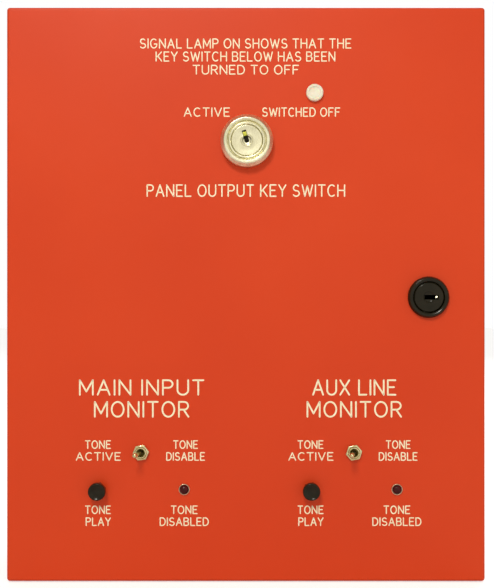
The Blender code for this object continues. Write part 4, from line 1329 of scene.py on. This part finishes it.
def harness_routes():
    """The harness's three stretches, which follow the routes of its CAD solids."""
    cabinet_run = [(-75.4, -20.3, 85.0), (-86.0, -20.5, 84.0), (-95.0, -22.0, 74.0)]
    cabinet_run += [(HARNESS_X, -24.0, 52.0), (HARNESS_X, -25.0, 16.0), (HARNESS_X, -26.0, -20.0)]
    cabinet_run += [(HARNESS_X, -28.0, -50.0), (HARNESS_X, -34.0, -66.0), (HARNESS_X, -43.0, -71.0)]
    cabinet_run += [(HARNESS_X, -50.0, -66.0), (HARNESS_X, -52.0, -56.0)]
    loop = [(HARNESS_X, -53.0, -40.0), (HARNESS_X, -59.0, -18.0), (HARNESS_X, -70.0, 8.0)]
    loop += [(HARNESS_X, -81.0, 32.0), (HARNESS_X, -87.0, 50.0), (HARNESS_X, -88.0, 62.0)]
    door_run = [(-99.5, -89.0, 76.0), (-93.0, -90.5, 90.0), (-78.0, -90.5, 97.0)]
    door_run += [(-58.0, -88.0, 96.0), (-38.0, -82.0, 90.0), (-24.0, -74.0, 83.0), (-13.4, -72.0, 81.0)]
    return cabinet_run, loop, door_run


def fanned(number, points, columns, middle, base_front):
    """One wire's points, with its first ones led along the terminal strip to its own clamp."""
    above = number < 3
    side = 1 if above else -1
    place = number if above else number - 3
    column = columns[place] if above else columns[LOWER_COLUMNS[place]]
    row = middle + side * (14.4 + 2.5 * place)
    plate = DEVICE_REAR - 1.7
    ending = [(column, base_front - 2.1, middle + side * 7.6)]
    ending += [(column, base_front - 2.4, middle + side * 10.6)]
    ending += [(column - 1.5, plate - 1.5, row), (column - 7.0, plate, row)]
    if column > columns[2]:
        ending += [(columns[1], plate, row)]
    ending += [(-75.0, plate, row), (-81.5, -20.0, middle + side * (5.0 + 1.5 * place))]
    leave = 7
    spots = [Vector(point) for point in ending] + [points[leave], points[leave + 3]]
    return smooth_route(spots, 6) + points[leave + 4 :]


def harness(strip):
    """Seven wires in a slow twist, kept on one route and cut where the loop begins and ends."""
    cabinet_run, loop, door_run = harness_routes()
    steps = 6
    route = smooth_route(cabinet_run + loop + door_run, steps)
    frames = route_frames(route)
    first_cut = (len(cabinet_run) - 1) * steps
    second_cut = first_cut + len(loop) * steps
    spans = {"cabinet": (0, first_cut), "loop": (first_cut, second_cut)}
    spans["door"] = (second_cut, len(route) - 1)
    travelled = [0.0]
    for before, after in zip(route, route[1:]):
        travelled.append(travelled[-1] + (after - before).length)
    for number, colour in enumerate(BUNDLE):
        for span, (start, end) in spans.items():
            points = []
            for index in range(start, end + 1):
                _, side, other = frames[index]
                angle = math.tau * number / 6 + travelled[index] / 22.0
                reach = 2 * WIRE_R * 1.02 if number < 6 else 0.0
                points.append(route[index] + reach * (side * math.cos(angle) + other * math.sin(angle)))
            if span == "cabinet":
                points = fanned(number, points, *strip)
            shape = bmesh.new()
            add_tube(shape, points, WIRE_R, 10)
            wire(f"harness_{span}_{colour}", shape, span, colour, number == 0)
    ties(route, frames, spans)


def wire(name, shape, span, colour, stands_for_node):
    """Stores one wire of the harness and attaches it to its body; a wire of the loop stays unattached, its
    place baked into its mesh.
    """
    bmesh.ops.scale(shape, verts=shape.verts, vec=(MM, MM, MM))
    obj = loose(name, shape)
    obj.data.materials.append(WIRES[colour].material)
    obj.data.shade_smooth()
    if span == "loop":
        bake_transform(obj)
    else:
        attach(obj, span)
    if stands_for_node:
        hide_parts(f"harness_{span}")


def ties(route, frames, spans):
    """Nylon ties round the bundle, with their square locking heads."""
    for span, share in TIES:
        start, end = spans[span]
        index = int(start + (end - start) * share)
        tangent, side, other = frames[index]
        profile = [(3.45, -1.1), (3.95, -1.1), (3.95, 1.1), (3.45, 1.1)]
        band = turned(profile, route[index], tangent, 40)
        head = block((-1.6, -1.9, -1.6), (1.6, 0.9, 1.6), 0.3, 2)
        mesh = bpy.data.meshes.new("tie_head")
        head.to_mesh(mesh)
        head.free()
        turn = Matrix((side, -other, tangent)).transposed().to_4x4()
        stamp(band, mesh, route[index] + other * 4.3, turn)
        piece(f"tie_{span}_{int(share * 100)}", band, span, NYLON)


def lead(name, points, colour, body, radius=0.7):
    """A single wire along its own smooth route."""
    shape = bmesh.new()
    add_tube(shape, smooth_route(points, 6), radius, 10)
    piece(name, shape, body, WIRES[colour])


def door_leads():
    """Wires from the harness's door end to each control, held close to the door."""
    skin = DOOR_INNER + 1.4
    for channel in CHANNELS:
        toggle = Vector((*in_channel(TOGGLE_AT, channel), -82.2))
        pole = toggle + Vector((4.7, 0.0, 0.0))
        button = Vector((*in_channel(BUTTON_AT, channel), -84.0))
        lamp = Vector((*in_channel(LED_AT, channel), -92.6))
        ends = (("yellow", toggle), ("blue", button), ("white", lamp), ("brown", pole))
        spread = 2.2 * channel
        for index, (colour, (x, z, depth)) in enumerate(ends):
            trunk_x = -60.0 + 1.7 * index
            run_z = -48.0 - spread - 1.6 * index
            corner_x = x - 6.0 if channel == 2 else trunk_x
            points = [(-58.0, -92.6, 97.0 - spread), (trunk_x + spread, skin, 60.0)]
            points += [(trunk_x + spread, skin, -36.0 - spread - index), (corner_x, skin, run_z)]
            points += [(x, skin + 1.0, z + 12.0), (x, depth, z + 4.0), (x, depth, z)]
            lead(f"door_lead_{channel}_{colour}", points, colour, "door")
    pilot = [(-30.0, -80.6, 88.5), (-14.0, -90.0, 104.0), (10.0, skin, 112.0)]
    pilot += [(28.0, skin, 112.0), (35.6, -90.0, 109.0), (35.6, -86.6, 107.4)]
    lead("door_lead_pilot", pilot, "red", "door")


def cabinet_leads(columns, middle, base_front):
    """Wires from the terminal strip to the relays, from those to the bells, and up to the conduit."""
    colours = ["red", "black", "white", "yellow", "blue", "green"]
    for channel in CHANNELS:
        front = corners(f"relay_base_{channel}")[0].y
        x = axis_of(f"relay_base_{channel}")[0]
        middle_column = 2 if channel == 1 else 9
        for step in (-1, 0, 1):
            column = columns[middle_column + step]
            colour = colours[(channel * 3 + step) % 6]
            points = [(column, base_front - 1.6, middle - 7.4), (column, base_front - 3.0, middle - 14.0)]
            points += [((column + x + step * 9.0) / 2, DEVICE_REAR - 2.0, 48.0)]
            points += [(x + step * 9.0, DEVICE_REAR - 6.0, 34.0), (x + step * 9.0, front + 1.6, 24.0)]
            points += [(x + step * 9.0, front + 1.6, 21.0)]
            lead(f"relay_lead_{channel}_{step + 2}", points, colour, "cabinet")
        bell_x = axis_of(f"bell_gong_{channel}")[0]
        for step in (-1, 1):
            points = [(x + step * 9.0, front + 1.6, -21.0), (x + step * 9.0, front + 1.2, -25.0)]
            points += [(x + step * 14.0, DEVICE_REAR - 7.0, -32.0)]
            points += [(x + step * 18.0, DEVICE_REAR - 2.2, -42.0)]
            points += [(bell_x + step * 13.0, DEVICE_REAR - 4.0, -51.0)]
            points += [(bell_x + step * 7.4, DEVICE_REAR - 5.0, -58.0)]
            lead(f"bell_lead_{channel}_{step + 2}", points, "red" if step > 0 else "black", "cabinet")
    for number, column in enumerate(columns[3:9]):
        points = [(column, base_front - 1.6, middle + 7.4), (column, base_front - 3.0, middle + 15.0)]
        points += [(column * 0.6, -26.0, middle + 32.0)]
        spot = math.tau * number / 6
        points += [(4.5 * math.cos(spot), CONDUIT_AT[1] + 4.5 * math.sin(spot), INNER_H - 14.0)]
        points += [(4.0 * math.cos(spot), CONDUIT_AT[1] + 4.0 * math.sin(spot), HALF_H - 1.6)]
        lead(f"supply_lead_{number + 1}", points, colours[number], "cabinet", 0.95)


# The studio


def area_light(name, place, aim, size, power, colour):
    data = bpy.data.lights.new(name, "AREA")
    data.shape = "RECTANGLE"
    data.size, data.size_y = size
    data.energy = power
    data.color = colour
    lamp = bpy.data.objects.new(name, data)
    lamp.location = place
    lamp.rotation_euler = (Vector(aim) - Vector(place)).to_track_quat("-Z", "Y").to_euler()
    bpy.context.scene.collection.objects.link(lamp)


def room_light(tree):
    """Soft light, brightest in front of the door, in a room that looks white from the camera."""
    place = tree.nodes.new("ShaderNodeTexCoord")
    split = tree.nodes.new("ShaderNodeSeparateXYZ")
    tree.links.new(place.outputs["Generated"], split.inputs[0])
    ramp = tree.nodes.new("ShaderNodeValToRGB")
    stops = ramp.color_ramp.elements
    stops[0].position = 0.0
    stops[0].color = (0.76, 0.72, 0.62, 1.0)
    stops[1].position = 1.0
    stops[1].color = (0.62, 0.63, 0.64, 1.0)
    side = stops.new(0.5)
    side.color = (0.26, 0.25, 0.235, 1.0)
    span = tree.nodes.new("ShaderNodeMapRange")
    span.inputs["From Min"].default_value = -1.0
    tree.links.new(split.outputs["Y"], span.inputs["Value"])
    tree.links.new(span.outputs["Result"], ramp.inputs["Fac"])
    sky = tree.nodes["Background"]
    tree.links.new(ramp.outputs["Color"], sky.inputs["Color"])
    seen = tree.nodes.new("ShaderNodeBackground")
    seen.inputs["Color"].default_value = (1.0, 1.0, 1.0, 1.0)
    path = tree.nodes.new("ShaderNodeLightPath")
    mixed = tree.nodes.new("ShaderNodeMixShader")
    tree.links.new(path.outputs["Is Camera Ray"], mixed.inputs["Fac"])
    tree.links.new(sky.outputs["Background"], mixed.inputs[1])
    tree.links.new(seen.outputs["Background"], mixed.inputs[2])
    tree.links.new(mixed.outputs["Shader"], tree.nodes["World Output"].inputs["Surface"])


def studio():
    floor_shape = bmesh.new()
    level = -HALF_H - 0.5
    add_block(floor_shape, (-4000.0, -4000.0, level - 10.0), (4000.0, 4000.0, level))
    bmesh.ops.scale(floor_shape, verts=floor_shape.verts, vec=(MM, MM, MM))
    floor = loose("floor", floor_shape)
    floor.data.materials.append(floor_paint().material)
    area_light("key_light", (-0.2, -1.15, 0.8), (0.0, -0.1, 0.0), (0.3, 0.3), 7.6, (1.0, 0.97, 0.9))
    area_light("fill_light", (0.9, -1.1, 0.2), (0.0, -0.1, 0.0), (1.6, 1.2), 1.2, (1.0, 0.97, 0.92))
    area_light("back_light", (0.5, 1.2, 0.9), (0.0, 0.0, 0.0), (1.0, 0.8), 9.0, (0.97, 0.98, 1.0))
    world = bpy.data.worlds.new("studio")
    world.use_nodes = True
    room_light(world.node_tree)
    bpy.context.scene.world = world


def camera():
    """Looks straight at the door, which fills nearly the whole height of the picture."""
    distance = 550.0
    door_share = 0.977
    sensor = 36.0
    data = bpy.data.cameras.new("camera")
    data.sensor_width = sensor
    data.lens = sensor * distance * door_share / (2 * HALF_H)
    data.clip_start = 0.01
    eye = bpy.data.objects.new("camera", data)
    eye.location = Vector((0.6, DOOR_FRONT - distance, 0.2)) * MM
    eye.rotation_euler = (math.pi / 2, 0.0, 0.0)
    bpy.context.scene.collection.objects.link(eye)
    bpy.context.scene.camera = eye
    bpy.context.scene.view_settings.view_transform = "Standard"


def build():
    camera()
    studio()
    small_screw = screw_head(2.6, 1.6, 0.7)
    plate_screw = screw_head(3.2, 2.0, 0.8, cross=True)
    cabinet_shell()
    hinge("top", 1)
    hinge("bottom", -1)
    mounting_plate(plate_screw)
    conduit_bushing()
    strip = terminal_block(small_screw)
    for channel in CHANNELS:
        relay(channel, small_screw)
        bell(channel, small_screw)
    door_panel()
    door_gasket()
    cam_lock(plate_screw)
    key_switch(small_screw)
    pilot_light()
    for channel in CHANNELS:
        toggle_switch(channel)
        push_button(channel)
        indicator(channel)
    legends()
    harness(strip)
    door_leads()
    cabinet_leads(*strip)


build()
